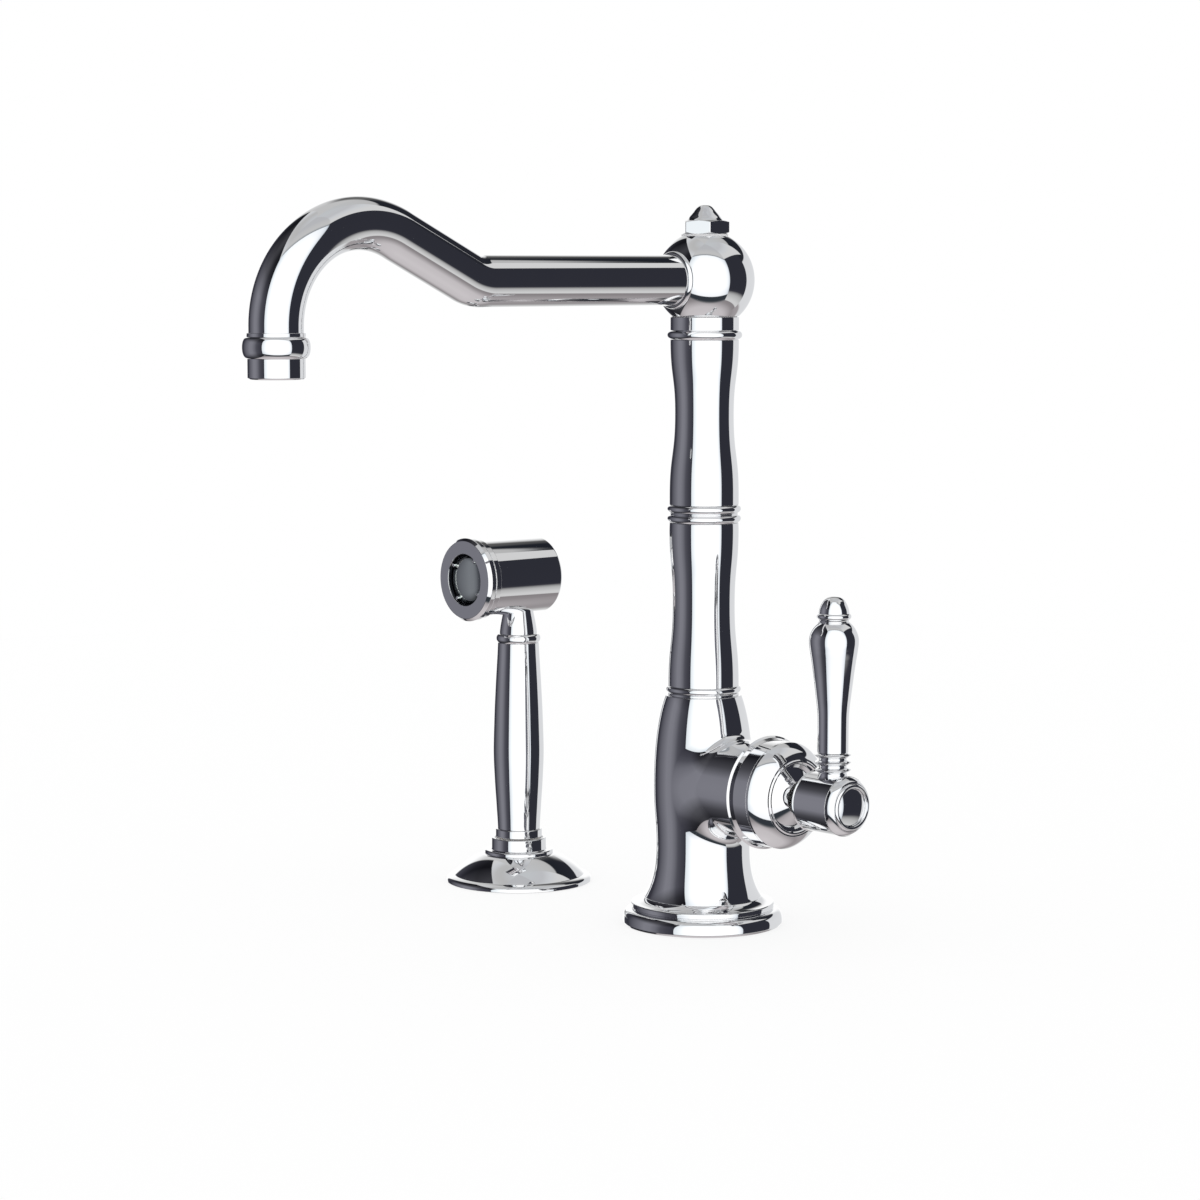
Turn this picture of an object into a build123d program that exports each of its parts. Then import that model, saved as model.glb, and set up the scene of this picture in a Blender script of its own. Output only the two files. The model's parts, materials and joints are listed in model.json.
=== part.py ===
# Two-hole kitchen faucet: a turned column with a side lever valve, a swivelling
# ball-top spout and a separate side spray on its own stand.
# Millimetres. Origin: centre of the faucet's base, on the deck. +Z is up, the spout
# points to -Y, the lever valve lies along +X and the side spray stands at -X.
from build123d import *
from math import asin, cos, degrees, radians, sin, sqrt, tan
import os

os.makedirs("parts", exist_ok=True)

# ---------------------------------------------------------------- fits and gaps
play = 0.05  # radial play of screwed and pushed-in joints
running = 0.05  # radial clearance of a shaft that turns or slides
air = 0.3  # gap between faces that move past each other
wall = 2.0  # wall of the turned brass shells

# ---------------------------------------------------------------- faucet stack
deck_gap = 0.3  # metal stands this far off the deck, on the gasket
gasket_h = 1.2
flange_h = 12.3
flange_r = 36.0
flange_top_r = 27.2
body_h = 91.2
body_foot_r = 26.2
body_waist_r = 21.2
body_waist_z = 33.0
body_belly_r = 22.5
body_belly_z = 64.0
body_shoulder_r = 17.1
foot_pull = 5.4  # how far the foot's flare runs up before it turns
waist_pull = 9.0
belly_pull = 17.0
ring_h = 4.2
ring_bead_r = 16.9
lower_h = 73.0
lower_foot_r = 15.95
lower_waist_r = 14.0
lower_top_r = 15.65
mid_ring_h = 8.0
mid_bead_r = 16.6
upper_h = 73.0
upper_foot_r = 15.6
upper_waist_r = 13.2
upper_top_r = 15.4
collar_h = 10.0
collar_bead_r = 16.8
column_bore_r = 11.5
riser_r = 8.5
riser_wall = 1.5
block_r = 17.0
block_h = 20.0
port_circle_r = 10.5
port_r = 4.5
port_depth = 11.0
way_r = 3.0
diverter_h = 10.0
diverter_depth = 19.8  # below the body's top
stud_r = 3.4
stud_depth = 14.0

# ---------------------------------------------------------------- ball and finial
ball_r = 22.26
ball_seat_r = 15.6
ball_crown_r = 11.1
stem_r = 9.0
stem_bore_r = 6.5
stem_thread_r = 5.0
washer_h = 1.2
crown_washer_h = 0.8
hex_flats = 19.7
hex_h = 6.0
finial_h = 6.8
o_ring_d = 1.6
o_ring_low = 8.6  # below the ball's centre
o_ring_high = 9.4

# ---------------------------------------------------------------- spout
reach = 229.0
tube_r = 11.15
tube_wall = 1.2
elbow_y = 126.0
elbow_r = 20.0
rise_angle = 26.0
crest_r = 41.0
drop_h = 3.15  # straight drop between the bow and the nozzle
housing_r = 11.7
housing_h = 8.4
nozzle_bead_r = 13.75
nozzle_bead_h = 7.2
nozzle_lip_r = 11.95
nozzle_lip_h = 2.0
tube_seat = 6.0
aerator_bore_r = 9.2

# ---------------------------------------------------------------- mixing valve
valve_z = 64.7
boss_r = 20.8
boss_x = 42.4
boss_fillet = 5.5
spigot_x = 47.0
spigot_r = 19.6
cartridge_r = 17.5
seat_x = 18.5
base_x = 26.0
cavity_x = 38.0
shell_x = 41.5
neck_x = 47.0
cavity_r = 14.5
neck_wall = 2.5
spindle_r = 10.5
spindle_x = 53.0
disc_r = 9.2
disc_h = 3.0
carrier_h = 3.5
pivot_x = 50.0
pin_r = 1.5
tilt_max = 18.0
arm_r = 2.9
arm_back = 14.8
slot_w = 7.6
bonnet_flange_r = 25.05
bonnet_flange_w = 2.6
band_r = 23.2
band_x = 53.2
dome_x = 60.6
dome_r = 17.3
cone_r = 14.4
cone_x = 63.0
cone_hole_r = 7.5
dome_wall = 1.6

# ---------------------------------------------------------------- lever
lever_x = 82.7
hub_r = 13.0
hub_back_x = 72.4
hub_front_x = 90.4
hub_tail_r = 5.5
hub_tail_x = 66.5
socket_r = 4.0
socket_x = 84.0
cap_x = 95.5
cap_ring_r = 9.8
button_dome_r = 8.2
button_dome_h = 0.6
lever_boss_r = 6.4
lever_boss_z = 79.0
lever_boss_fillet = 0.8
rib_r = 7.9
rib_h = 1.5
rib_gap = 1.05
rib_count = 3
grip_foot_r = 6.7
grip_max_r = 10.75
grip_max_z = 135.0
grip_top_z = 143.0
flare_h = 18.0
flare_pull = 8.0
flare_lift = 14.0
finial_bead_r = 7.5
lever_top_z = 154.5
lever_stud_r = 3.0

# ---------------------------------------------------------------- side spray
spray_x = -131.6
rose_r = 34.8
rose_h = 13.7
rose_top_r = 17.8
rose_lip_r = 31.3
rose_lip_z = 3.6
holder_flange_r = 16.5
holder_flange_h = 1.8
holder_r = 13.15
holder_top_z = 21.2
shank_r = 12.6
bush_wall = 1.0
tail_low_z = 4.0
tail_low_r = 8.4
tail_top_r = 10.2
hose_thread_r = 7.0
hose_thread_h = 11.0
tail_spigot_r = 6.0
tail_spigot_h = 9.0
spray_collar_r = 11.2
spray_collar_h = 4.0
spray_grip_foot_r = 10.25
spray_grip_max_r = 12.2
spray_grip_max_z = 62.0
spray_grip_top_r = 9.9
spray_ring_z = 115.4
spray_ring_h = 4.2
spray_ring_r = 10.65
neck_foot_r = 9.0
neck_top_r = 7.2
neck_spigot_r = 6.9
head_z = 147.3
head_r = 17.9
head_wall = 2.0
head_back_y = 13.0
head_front_y = 25.0
face_y = 32.7
face_flat_r = 18.3
face_rim_r = 19.65
face_groove_r = 18.5
face_step_r = 18.9
face_bore_r = 12.3
nozzle_dome_r = 10.6
nozzle_dome_h = 4.2
guide_r = 12.0
guide_h = 10.5
back_wall_h = 3.5
thumb_r = 8.6
thumb_out = 4.2
thumb_travel = 3.5
rod_r = 1.8
spring_r = 5.2
spring_wire_r = 0.5
spring_turns = 5
valve_seat_y = 13.5
valve_seat_h = 2.5

# ---------------------------------------------------------------- worked-out places
flange_top_z = deck_gap + flange_h
body_top_z = flange_top_z + body_h
ring_top_z = body_top_z + ring_h
lower_top_z = ring_top_z + lower_h
mid_top_z = lower_top_z + mid_ring_h
upper_top_z = mid_top_z + upper_h
collar_top_z = upper_top_z + collar_h
ball_low_z = collar_top_z + air
ball_z = ball_low_z + sqrt(ball_r**2 - ball_seat_r**2)
ball_top_z = ball_z + sqrt(ball_r**2 - ball_crown_r**2)
hex_low_z = ball_top_z + crown_washer_h
hex_top_z = hex_low_z + hex_h
faucet_top_z = hex_top_z + finial_h
spigot_h = 3.0
cartridge_port_y = port_circle_r * sin(radians(60))
cartridge_port_z = valve_z - 4.7
outlet_port_z = valve_z + 7.3
mixed_way_r = 5.0
diverter_z = body_top_z - diverter_depth
diverter_bore_r = riser_r + 0.5
riser_low_z = diverter_z + diverter_h
riser_top_z = upper_top_z - 5.0
stem_foot_z = riser_top_z - 7.0
stem_foot_top_z = upper_top_z - spigot_h
stem_foot_r = column_bore_r - 0.5

valve_axis = Axis((0, 0, valve_z), (1, 0, 0))
valve_plane = Plane(origin=(0, 0, valve_z), x_dir=(1, 0, 0), z_dir=(0, -1, 0))
lever_axis = Axis((lever_x, 0, 0), (0, 0, 1))
lever_plane = Plane(origin=(lever_x, 0, 0), x_dir=(1, 0, 0), z_dir=(0, -1, 0))
outlet_axis = Axis((0, -reach, 0), (0, 0, 1))
outlet_plane = Plane(origin=(0, -reach, 0), x_dir=(1, 0, 0), z_dir=(0, -1, 0))
spray_axis = Axis((spray_x, 0, 0), (0, 0, 1))
spray_plane = Plane(origin=(spray_x, 0, 0), x_dir=(1, 0, 0), z_dir=(0, -1, 0))
head_axis = Axis((spray_x, 0, head_z), (0, 1, 0))
head_plane = Plane(origin=(spray_x, 0, head_z), x_dir=(0, -1, 0), z_dir=(-1, 0, 0))


def s_curve(start, end, pull=0.5):
    """A turned S: leaves start and reaches end parallel to the axis of the turning."""
    r0, z0 = start
    r1, z1 = end
    return Bezier((r0, z0), (r0, z0 + pull * (z1 - z0)), (r1, z1 - pull * (z1 - z0)), (r1, z1))


def bead(foot_r, crest_r, low_z, high_z):
    """Half-round bead of a turned ring, from low_z to high_z."""
    return ThreePointArc((foot_r, low_z), (crest_r, (low_z + high_z) / 2), (foot_r, high_z))


# ================================================================ faucet, standing parts
with BuildPart() as base_gasket:
    with BuildSketch():
        Circle(flange_r - 6)
        Circle(block_r + 4, mode=Mode.SUBTRACT)
    extrude(amount=gasket_h)

# Turned base with a thick lower bead, a thin upper bead and a small cove.
flange_bead_z = deck_gap + 5.2
flange_ring_z = flange_bead_z + 2.5
flange_step_z = flange_top_z - 2.0
with BuildPart() as base_flange:
    with BuildSketch(Plane.XZ):
        with BuildLine():
            bottom = (flange_r - 0.6, deck_gap)
            rim = (flange_r, deck_gap + 1.0)
            notch = (flange_r - 3.4, flange_bead_z)
            groove = (flange_r - 4.5, flange_bead_z + 0.2)
            thin = (flange_r - 3.8, flange_bead_z + 0.7)
            crest = (flange_r - 3.8, flange_ring_z - 0.5)
            slope = (flange_r - 5.2, flange_ring_z + 0.3)
            step = (flange_r - 7.1, flange_step_z)
            top = (flange_top_r, flange_top_z)
            Line(bottom, rim)
            crown = (flange_r - 0.4, flange_bead_z - 0.2)
            Bezier(rim, (flange_r - 0.5, deck_gap + 2.6), crown, notch)
            Polyline(notch, groove, thin, crest)
            ThreePointArc(crest, (flange_r - 4.3, flange_ring_z + 0.1), slope)
            Bezier(slope, (flange_r - 6.6, flange_ring_z + 1.2), step)
            Bezier(step, (flange_r - 7.3, flange_top_z - 0.4), top)
            Polyline(top, (block_r + 0.2, flange_top_z), (block_r + 0.2, deck_gap), bottom)
        make_face()
    revolve(axis=Axis.Z)
    with BuildSketch():
        Circle(flange_r - 6 + play)
        Circle(block_r + 4 - play, mode=Mode.SUBTRACT)
    extrude(amount=gasket_h, mode=Mode.SUBTRACT)

# Brass block in the foot of the body: central stud thread and three hose threads.
with BuildPart() as inlet_block:
    with BuildSketch():
        Circle(block_r)
    extrude(amount=block_h)
    chamfer(inlet_block.faces().sort_by(Axis.Z)[0].edges(), 0.8)
    with BuildSketch():
        Circle(stud_r)
    extrude(amount=stud_depth, mode=Mode.SUBTRACT)
    with BuildSketch():
        with PolarLocations(port_circle_r, 3, start_angle=60):
            Circle(port_r)
    extrude(amount=port_depth, mode=Mode.SUBTRACT)
    with BuildSketch():
        with PolarLocations(port_circle_r, 3, start_angle=60):
            Circle(way_r)
    extrude(amount=block_h, mode=Mode.SUBTRACT)

# Vase-shaped casting with the cartridge boss on its side.
with BuildPart() as valve_body:
    with BuildSketch(Plane.XZ):
        with BuildLine():
            foot = (body_foot_r, flange_top_z)
            waist = (body_waist_r, body_waist_z)
            belly = (body_belly_r, body_belly_z)
            shoulder = (body_shoulder_r, body_top_z)
            flare = (body_waist_r + 1.4, flange_top_z + foot_pull)
            Bezier(foot, flare, (body_waist_r, body_waist_z - waist_pull), waist)
            s_curve(waist, belly)
            swell = (body_belly_r, body_belly_z + belly_pull)
            Bezier(belly, swell, (body_shoulder_r + 3.4, body_top_z - waist_pull), shoulder)
            Polyline(shoulder, (0, body_top_z), (0, flange_top_z), foot)
        make_face()
    revolve(axis=Axis.Z)
    with BuildSketch(Plane.YZ):
        with Locations((0, valve_z)):
            Circle(boss_r)
    extrude(amount=boss_x)
    root = valve_body.edges().filter_by(GeomType.CIRCLE, reverse=True)
    root = root.filter_by(GeomType.LINE, reverse=True)
    root = root.filter_by(lambda e: abs(e.center().Z - valve_z) < boss_r)
    fillet(root, boss_fillet)
    with BuildSketch(Plane.YZ.offset(boss_x)):
        with Locations((0, valve_z)):
            Circle(spigot_r)
    extrude(amount=spigot_x - boss_x)
    with BuildSketch(Plane.YZ.offset(seat_x)):
        with Locations((0, valve_z)):
            Circle(cartridge_r + play)
    extrude(amount=spigot_x - seat_x, mode=Mode.SUBTRACT)
    with BuildSketch(Plane.XY.offset(flange_top_z)):
        Circle(block_r + play)
    extrude(amount=block_h - flange_top_z, mode=Mode.SUBTRACT)
    with BuildSketch(Plane.XY.offset(block_h)):
        with PolarLocations(port_circle_r, 2, start_angle=-60, angular_range=240):
            Circle(way_r)
    extrude(amount=cartridge_port_z + way_r - block_h, mode=Mode.SUBTRACT)
    with BuildSketch(Plane.XY.offset(block_h)):
        with Locations((-port_circle_r, 0)):
            Circle(way_r)
    extrude(amount=diverter_z + 3 - block_h, mode=Mode.SUBTRACT)
    with BuildSketch(Plane.YZ.offset(port_circle_r * cos(radians(60)))):
        with Locations((-cartridge_port_y, cartridge_port_z), (cartridge_port_y, cartridge_port_z)):
            Circle(way_r)
    extrude(amount=seat_x - port_circle_r * cos(radians(60)), mode=Mode.SUBTRACT)
    with BuildSketch(Plane.YZ):
        with Locations((0, outlet_port_z)):
            Circle(mixed_way_r)
    extrude(amount=seat_x, mode=Mode.SUBTRACT)
    with BuildSketch(Plane.XY.offset(outlet_port_z)):
        Circle(mixed_way_r)
    extrude(amount=diverter_z - outlet_port_z, mode=Mode.SUBTRACT)
    with BuildSketch(Plane.XY.offset(diverter_z)):
        Circle(diverter_bore_r)
    extrude(amount=body_top_z - diverter_z, mode=Mode.SUBTRACT)

# Automatic diverter between spout and side spray, in the throat of the body.
with BuildPart() as diverter_valve:
    with BuildSketch(Plane.XZ):
        with BuildLine():
            Polyline(
                (mixed_way_r - 1, diverter_z),
                (diverter_bore_r - play, diverter_z),
                (diverter_bore_r - play, diverter_z + 1.5),
                (diverter_bore_r - 2, diverter_z + 2.5),
                (diverter_bore_r - 2, riser_low_z - 2.5),
                (diverter_bore_r - play, riser_low_z - 1.5),
                (diverter_bore_r - play, riser_low_z),
                (mixed_way_r - 1, riser_low_z),
                close=True,
            )
        make_face()
    revolve(axis=Axis.Z)

# Ring between body and lower column, with a bush down into the body.
with BuildPart() as body_ring:
    with BuildSketch(Plane.XZ):
        with BuildLine():
            groove_r = ring_bead_r - 0.9
            Line((riser_r + play, ring_top_z + spigot_h), (column_bore_r - play, ring_top_z + spigot_h))
            Line((column_bore_r - play, ring_top_z + spigot_h), (column_bore_r - play, ring_top_z))
            Line((column_bore_r - play, ring_top_z), (groove_r, ring_top_z))
            bead(groove_r, ring_bead_r, ring_top_z, body_top_z + 1.1)
            Line((groove_r, body_top_z + 1.1), (groove_r, body_top_z))
            Line((groove_r, body_top_z), (diverter_bore_r - play, body_top_z))
            Line((diverter_bore_r - play, body_top_z), (diverter_bore_r - play, riser_low_z + 3))
            Line((diverter_bore_r - play, riser_low_z + 3), (riser_r + play, riser_low_z + 3))
            Line((riser_r + play, riser_low_z + 3), (riser_r + play, ring_top_z + spigot_h))
        make_face()
    revolve(axis=Axis.Z)

with BuildPart() as lower_column:
    with BuildSketch(Plane.XZ):
        with BuildLine():
            foot = (lower_foot_r, ring_top_z)
            waist = (lower_waist_r, (ring_top_z + lower_top_z) / 2)
            top = (lower_top_r, lower_top_z - 3)
            s_curve(foot, waist)
            s_curve(waist, top)
            rim = (lower_top_r - 0.1, lower_top_z)
            Polyline(top, rim, (column_bore_r, lower_top_z), (column_bore_r, ring_top_z), foot)
        make_face()
    revolve(axis=Axis.Z)

# Double ring between the two column sleeves, with a spigot into each.
with BuildPart() as mid_ring:
    with BuildSketch(Plane.XZ):
        with BuildLine():
            valley_r = mid_bead_r - 1.4
            spigot = column_bore_r - play
            middle_z = (lower_top_z + mid_top_z) / 2
            bead(valley_r, mid_bead_r, lower_top_z, middle_z - 0.3)
            Line((valley_r, middle_z - 0.3), (valley_r, middle_z + 0.3))
            bead(valley_r, mid_bead_r, middle_z + 0.3, mid_top_z)
            Polyline(
                (valley_r, mid_top_z),
                (spigot, mid_top_z),
                (spigot, mid_top_z + spigot_h),
                (riser_r + play, mid_top_z + spigot_h),
                (riser_r + play, lower_top_z - spigot_h),
                (spigot, lower_top_z - spigot_h),
                (spigot, lower_top_z),
                (valley_r, lower_top_z),
            )
        make_face()
    revolve(axis=Axis.Z)

with BuildPart() as upper_column:
    with BuildSketch(Plane.XZ):
        with BuildLine():
            foot = (upper_foot_r, mid_top_z)
            land = (upper_foot_r, mid_top_z + 4)
            waist = (upper_waist_r, mid_top_z + 0.55 * upper_h)
            top = (upper_top_r, upper_top_z)
            Line(foot, land)
            s_curve(land, waist)
            s_curve(waist, top)
            Polyline(top, (column_bore_r, upper_top_z), (column_bore_r, mid_top_z), foot)
        make_face()
    revolve(axis=Axis.Z)

with BuildPart() as top_collar:
    with BuildSketch(Plane.XZ):
        with BuildLine():
            spigot = column_bore_r - play
            recess_z = ball_low_z - washer_h
            bead(upper_top_r, collar_bead_r, upper_top_z, upper_top_z + 4.2)
            Polyline(
                (upper_top_r, upper_top_z + 4.2),
                (upper_top_r, collar_top_z),
                (ball_seat_r - 1.1, collar_top_z),
                (ball_seat_r - 1.1, recess_z),
                (stem_r + play, recess_z),
                (stem_r + play, upper_top_z - spigot_h),
                (spigot, upper_top_z - spigot_h),
                (spigot, upper_top_z),
                (upper_top_r, upper_top_z),
            )
        make_face()
    revolve(axis=Axis.Z)

with BuildPart() as riser_tube:
    with BuildSketch(Plane.XY.offset(riser_low_z)):
        Circle(riser_r)
        Circle(riser_r - riser_wall, mode=Mode.SUBTRACT)
    extrude(amount=riser_top_z - riser_low_z)

# Brass stem that the ball turns on: socket, waterway, cross ports, O-ring grooves, thread.
o_ring_z = (ball_z - o_ring_low, ball_z + o_ring_high)
groove_w = o_ring_d + 0.2
with BuildPart() as swivel_stem:
    with BuildSketch(Plane.XZ):
        with BuildLine():
            Polyline(
                (riser_r + play, stem_foot_z),
                (stem_foot_r, stem_foot_z),
                (stem_foot_r, stem_foot_top_z),
                (stem_r, stem_foot_top_z),
                (stem_r, ball_top_z),
                (stem_thread_r, ball_top_z),
                (stem_thread_r, hex_top_z),
                (0, hex_top_z),
                (0, ball_z + 5),
                (stem_bore_r, ball_z + 5),
                (stem_bore_r, riser_top_z),
                (riser_r + play, riser_top_z),
                close=True,
            )
        make_face()
    revolve(axis=Axis.Z)
    with BuildSketch(Plane.XZ):
        for ring_z in o_ring_z:
            with Locations((stem_r - o_ring_d / 2, ring_z)):
                Rectangle(o_ring_d, groove_w)
    revolve(axis=Axis.Z, mode=Mode.SUBTRACT)
    with BuildSketch(Plane.XZ.offset(-stem_r - 1)):
        with Locations((0, ball_z)):
            Circle(stem_bore_r - 2.5)
    extrude(amount=2 * stem_r + 2, mode=Mode.SUBTRACT)

with BuildPart() as stem_orings:
    with BuildSketch(Plane.XZ):
        for ring_z in o_ring_z:
            with Locations((stem_r - o_ring_d / 2, ring_z)):
                Circle(o_ring_d / 2)
    revolve(axis=Axis.Z)

with BuildPart() as swivel_washer_lower:
    with BuildSketch(Plane.XY.offset(ball_low_z - washer_h)):
        Circle(ball_seat_r - 1.1 - play)
        Circle(stem_r + play, mode=Mode.SUBTRACT)
    extrude(amount=washer_h)

with BuildPart() as swivel_washer_upper:
    with BuildSketch(Plane.XY.offset(ball_top_z)):
        Circle(ball_crown_r - 0.8)
        Circle(stem_thread_r + play, mode=Mode.SUBTRACT)
    extrude(amount=crown_washer_h)

# Hexagonal nut that runs up into a small ogee finial.
hex_r = hex_flats / 2 / cos(radians(30))
with BuildPart() as finial_nut:
    with BuildSketch(Plane.XY.offset(hex_low_z)):
        RegularPolygon(radius=hex_r, side_count=6, rotation=30)
    extrude(amount=hex_h)
    with BuildSketch(Plane.XZ):
        with BuildLine():
            foot = (hex_flats / 2 - 0.3, hex_top_z)
            tip = (0, faucet_top_z)
            brow = (4.2, faucet_top_z - 1.3)
            Bezier(foot, (hex_flats / 2 - 2.6, hex_top_z + 1.2), (4.8, faucet_top_z - 3.0), brow)
            Bezier(brow, (3.6, faucet_top_z - 0.1), (1.2, faucet_top_z), tip)
            Polyline(tip, (0, hex_top_z), foot)
        make_face()
    revolve(axis=Axis.Z)
    with BuildSketch(Plane.XZ):
        with BuildLine():
            Polyline(
                (hex_flats / 2 - 0.2, hex_low_z - 1),
                (hex_r + 1, hex_low_z - 1),
                (hex_r + 1, hex_low_z + 1.2),
                close=True,
            )
        make_face()
    revolve(axis=Axis.Z, mode=Mode.SUBTRACT)
    with BuildSketch(Plane.XY.offset(hex_low_z)):
        Circle(stem_thread_r + play)
    extrude(amount=hex_h, mode=Mode.SUBTRACT)

# ================================================================ spout
tube_in_y = stem_r + 4.0
with BuildPart() as ball_body:
    with BuildSketch(Plane.XZ):
        with BuildLine():
            low = (ball_seat_r, ball_low_z)
            top = (ball_crown_r, ball_top_z)
            chamber_r = stem_r + 3.5
            bore = stem_r + running
            ThreePointArc(low, (ball_r, ball_z), top)
            Polyline(
                top,
                (bore, ball_top_z),
                (bore, ball_z + 5.2),
                (chamber_r, ball_z + 5.2),
                (chamber_r, ball_z - 5.2),
                (bore, ball_z - 5.2),
                (bore, ball_low_z),
                low,
            )
        make_face()
    revolve(axis=Axis.Z)
    with BuildSketch(Plane.XZ.offset(tube_in_y)):
        with Locations((0, ball_z)):
            Circle(tube_r + play)
    extrude(amount=ball_r, mode=Mode.SUBTRACT)
    with BuildSketch(Plane.XZ.offset(stem_r + 2)):
        with Locations((0, ball_z)):
            Circle(tube_r - tube_wall)
    extrude(amount=tube_in_y - stem_r - 2, mode=Mode.SUBTRACT)

ball_mouth_y = sqrt(ball_r**2 - tube_r**2)
with BuildPart() as spout_collar:
    with BuildSketch(Plane.XZ.offset(ball_mouth_y - 1.2)):
        with Locations((0, ball_z)):
            Circle(tube_r + 0.9)
            Circle(tube_r + play, mode=Mode.SUBTRACT)
    extrude(amount=3.4)
    chamfer(spout_collar.faces().sort_by(Axis.Y)[0].edges().sort_by(SortBy.RADIUS)[-1], 0.4)
    with Locations((0, 0, ball_z)):
        Sphere(ball_r, mode=Mode.SUBTRACT)

# The tube runs level, turns up at the elbow and bows over into the drop to the outlet.
rise = radians(rise_angle)
rise_run = (reach - elbow_y - elbow_r * sin(rise) - crest_r * (1 + sin(rise))) / cos(rise)
elbow_end = (-elbow_y - elbow_r * sin(rise), ball_z + elbow_r * (1 - cos(rise)))
rise_end = (elbow_end[0] - rise_run * cos(rise), elbow_end[1] + rise_run * sin(rise))
crest_centre = (-reach + crest_r, rise_end[1] - crest_r * cos(rise))
nozzle_top_z = crest_centre[1] - drop_h
nozzle_low_z = nozzle_top_z - nozzle_lip_h - nozzle_bead_h
outlet_z = nozzle_low_z - housing_h
tube_end_z = nozzle_top_z - tube_seat
with BuildPart() as spout_tube:
    with BuildLine(Plane.YZ):
        Line((-tube_in_y, ball_z), (-elbow_y, ball_z))
        half = rise / 2
        elbow_mid = (-elbow_y - elbow_r * sin(half), ball_z + elbow_r * (1 - cos(half)))
        ThreePointArc((-elbow_y, ball_z), elbow_mid, elbow_end)
        Line(elbow_end, rise_end)
        turn = (rise - radians(90)) / 2
        crest_mid = (crest_centre[0] + crest_r * sin(turn), crest_centre[1] + crest_r * cos(turn))
        ThreePointArc(rise_end, crest_mid, (-reach, crest_centre[1]))
        Line((-reach, crest_centre[1]), (-reach, tube_end_z))
    with BuildSketch(Plane(origin=(0, -tube_in_y, ball_z), x_dir=(1, 0, 0), z_dir=(0, -1, 0))):
        Circle(tube_r)
        Circle(tube_r - tube_wall, mode=Mode.SUBTRACT)
    sweep()

# Turned nozzle brazed on the tube: lip, fat bead and a threaded spigot for the aerator.
spigot_low_z = outlet_z + 5.4
with BuildPart() as spout_nozzle:
    with BuildSketch(outlet_plane):
        with BuildLine():
            lip_r = nozzle_lip_r
            bead_top_z = nozzle_low_z + nozzle_bead_h
            foot_r = nozzle_lip_r - 0.3
            bore_r = tube_r - tube_wall
            Line((tube_r + play, nozzle_top_z), (lip_r - 0.3, nozzle_top_z))
            Line((lip_r - 0.3, nozzle_top_z), (lip_r, bead_top_z))
            Bezier(
                (lip_r, bead_top_z),
                (nozzle_bead_r + 0.7, bead_top_z),
                (nozzle_bead_r + 0.7, nozzle_low_z),
                (foot_r, nozzle_low_z),
            )
            Polyline(
                (foot_r, nozzle_low_z),
                (housing_r - 0.8 - play, nozzle_low_z),
                (housing_r - 0.8 - play, spigot_low_z),
                (bore_r, spigot_low_z),
                (bore_r, tube_end_z),
                (tube_r + play, tube_end_z),
                (tube_r + play, nozzle_top_z),
            )
        make_face()
    revolve(axis=outlet_axis)

with BuildPart() as aerator_housing:
    with BuildSketch(outlet_plane):
        with BuildLine():
            Polyline(
                (housing_r - 0.8, nozzle_low_z),
                (housing_r, nozzle_low_z),
                (housing_r, outlet_z + 0.6),
                (housing_r - 0.6, outlet_z),
                (aerator_bore_r, outlet_z),
                (aerator_bore_r, outlet_z + 0.6),
                (housing_r - 0.8, outlet_z + 0.6),
                close=True,
            )
        make_face()
    revolve(axis=outlet_axis)

# Plastic flow former with a ring of small jets.
with BuildPart() as aerator_insert:
    with BuildSketch(Plane.XY.offset(outlet_z + 0.6)):
        with Locations((0, -reach)):
            Circle(housing_r - 0.8 - play)
    extrude(amount=spigot_low_z - outlet_z - 1.6)
    with BuildSketch(Plane.XY.offset(outlet_z)):
        with Locations((0, -reach)):
            with PolarLocations(aerator_bore_r - 2.4, 12):
                Circle(1.0)
            with PolarLocations(aerator_bore_r - 5.6, 6):
                Circle(1.0)
    extrude(amount=housing_h, mode=Mode.SUBTRACT)

with BuildPart() as aerator_washer:
    with BuildSketch(Plane.XY.offset(spigot_low_z - 1.0)):
        with Locations((0, -reach)):
            Circle(housing_r - 0.8 - play)
            Circle(aerator_bore_r - 1.0, mode=Mode.SUBTRACT)
    extrude(amount=1.0)

# ================================================================ mixing valve cartridge
with BuildPart() as cartridge_seals:
    with BuildSketch(Plane.YZ.offset(seat_x)):
        with Locations((-cartridge_port_y, cartridge_port_z), (cartridge_port_y, cartridge_port_z)):
            Circle(way_r + 1.6)
            Circle(way_r, mode=Mode.SUBTRACT)
        with Locations((0, outlet_port_z)):
            Circle(mixed_way_r + 1.4)
            Circle(mixed_way_r, mode=Mode.SUBTRACT)
    extrude(amount=1.4)

with BuildPart() as cartridge_base:
    with BuildSketch(Plane.YZ.offset(seat_x)):
        with Locations((0, valve_z)):
            Circle(cartridge_r)
    extrude(amount=base_x - seat_x)
    with BuildSketch(Plane.YZ.offset(seat_x)):
        with Locations((-cartridge_port_y, cartridge_port_z), (cartridge_port_y, cartridge_port_z)):
            Circle(way_r + 1.6 + play)
        with Locations((0, outlet_port_z)):
            Circle(mixed_way_r + 1.4 + play)
    extrude(amount=1.4, mode=Mode.SUBTRACT)
    with BuildSketch(Plane.YZ.offset(seat_x)):
        with Locations((-cartridge_port_y, cartridge_port_z), (cartridge_port_y, cartridge_port_z)):
            Circle(way_r)
        with Locations((0, outlet_port_z)):
            Circle(mixed_way_r)
    extrude(amount=base_x - seat_x, mode=Mode.SUBTRACT)

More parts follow.
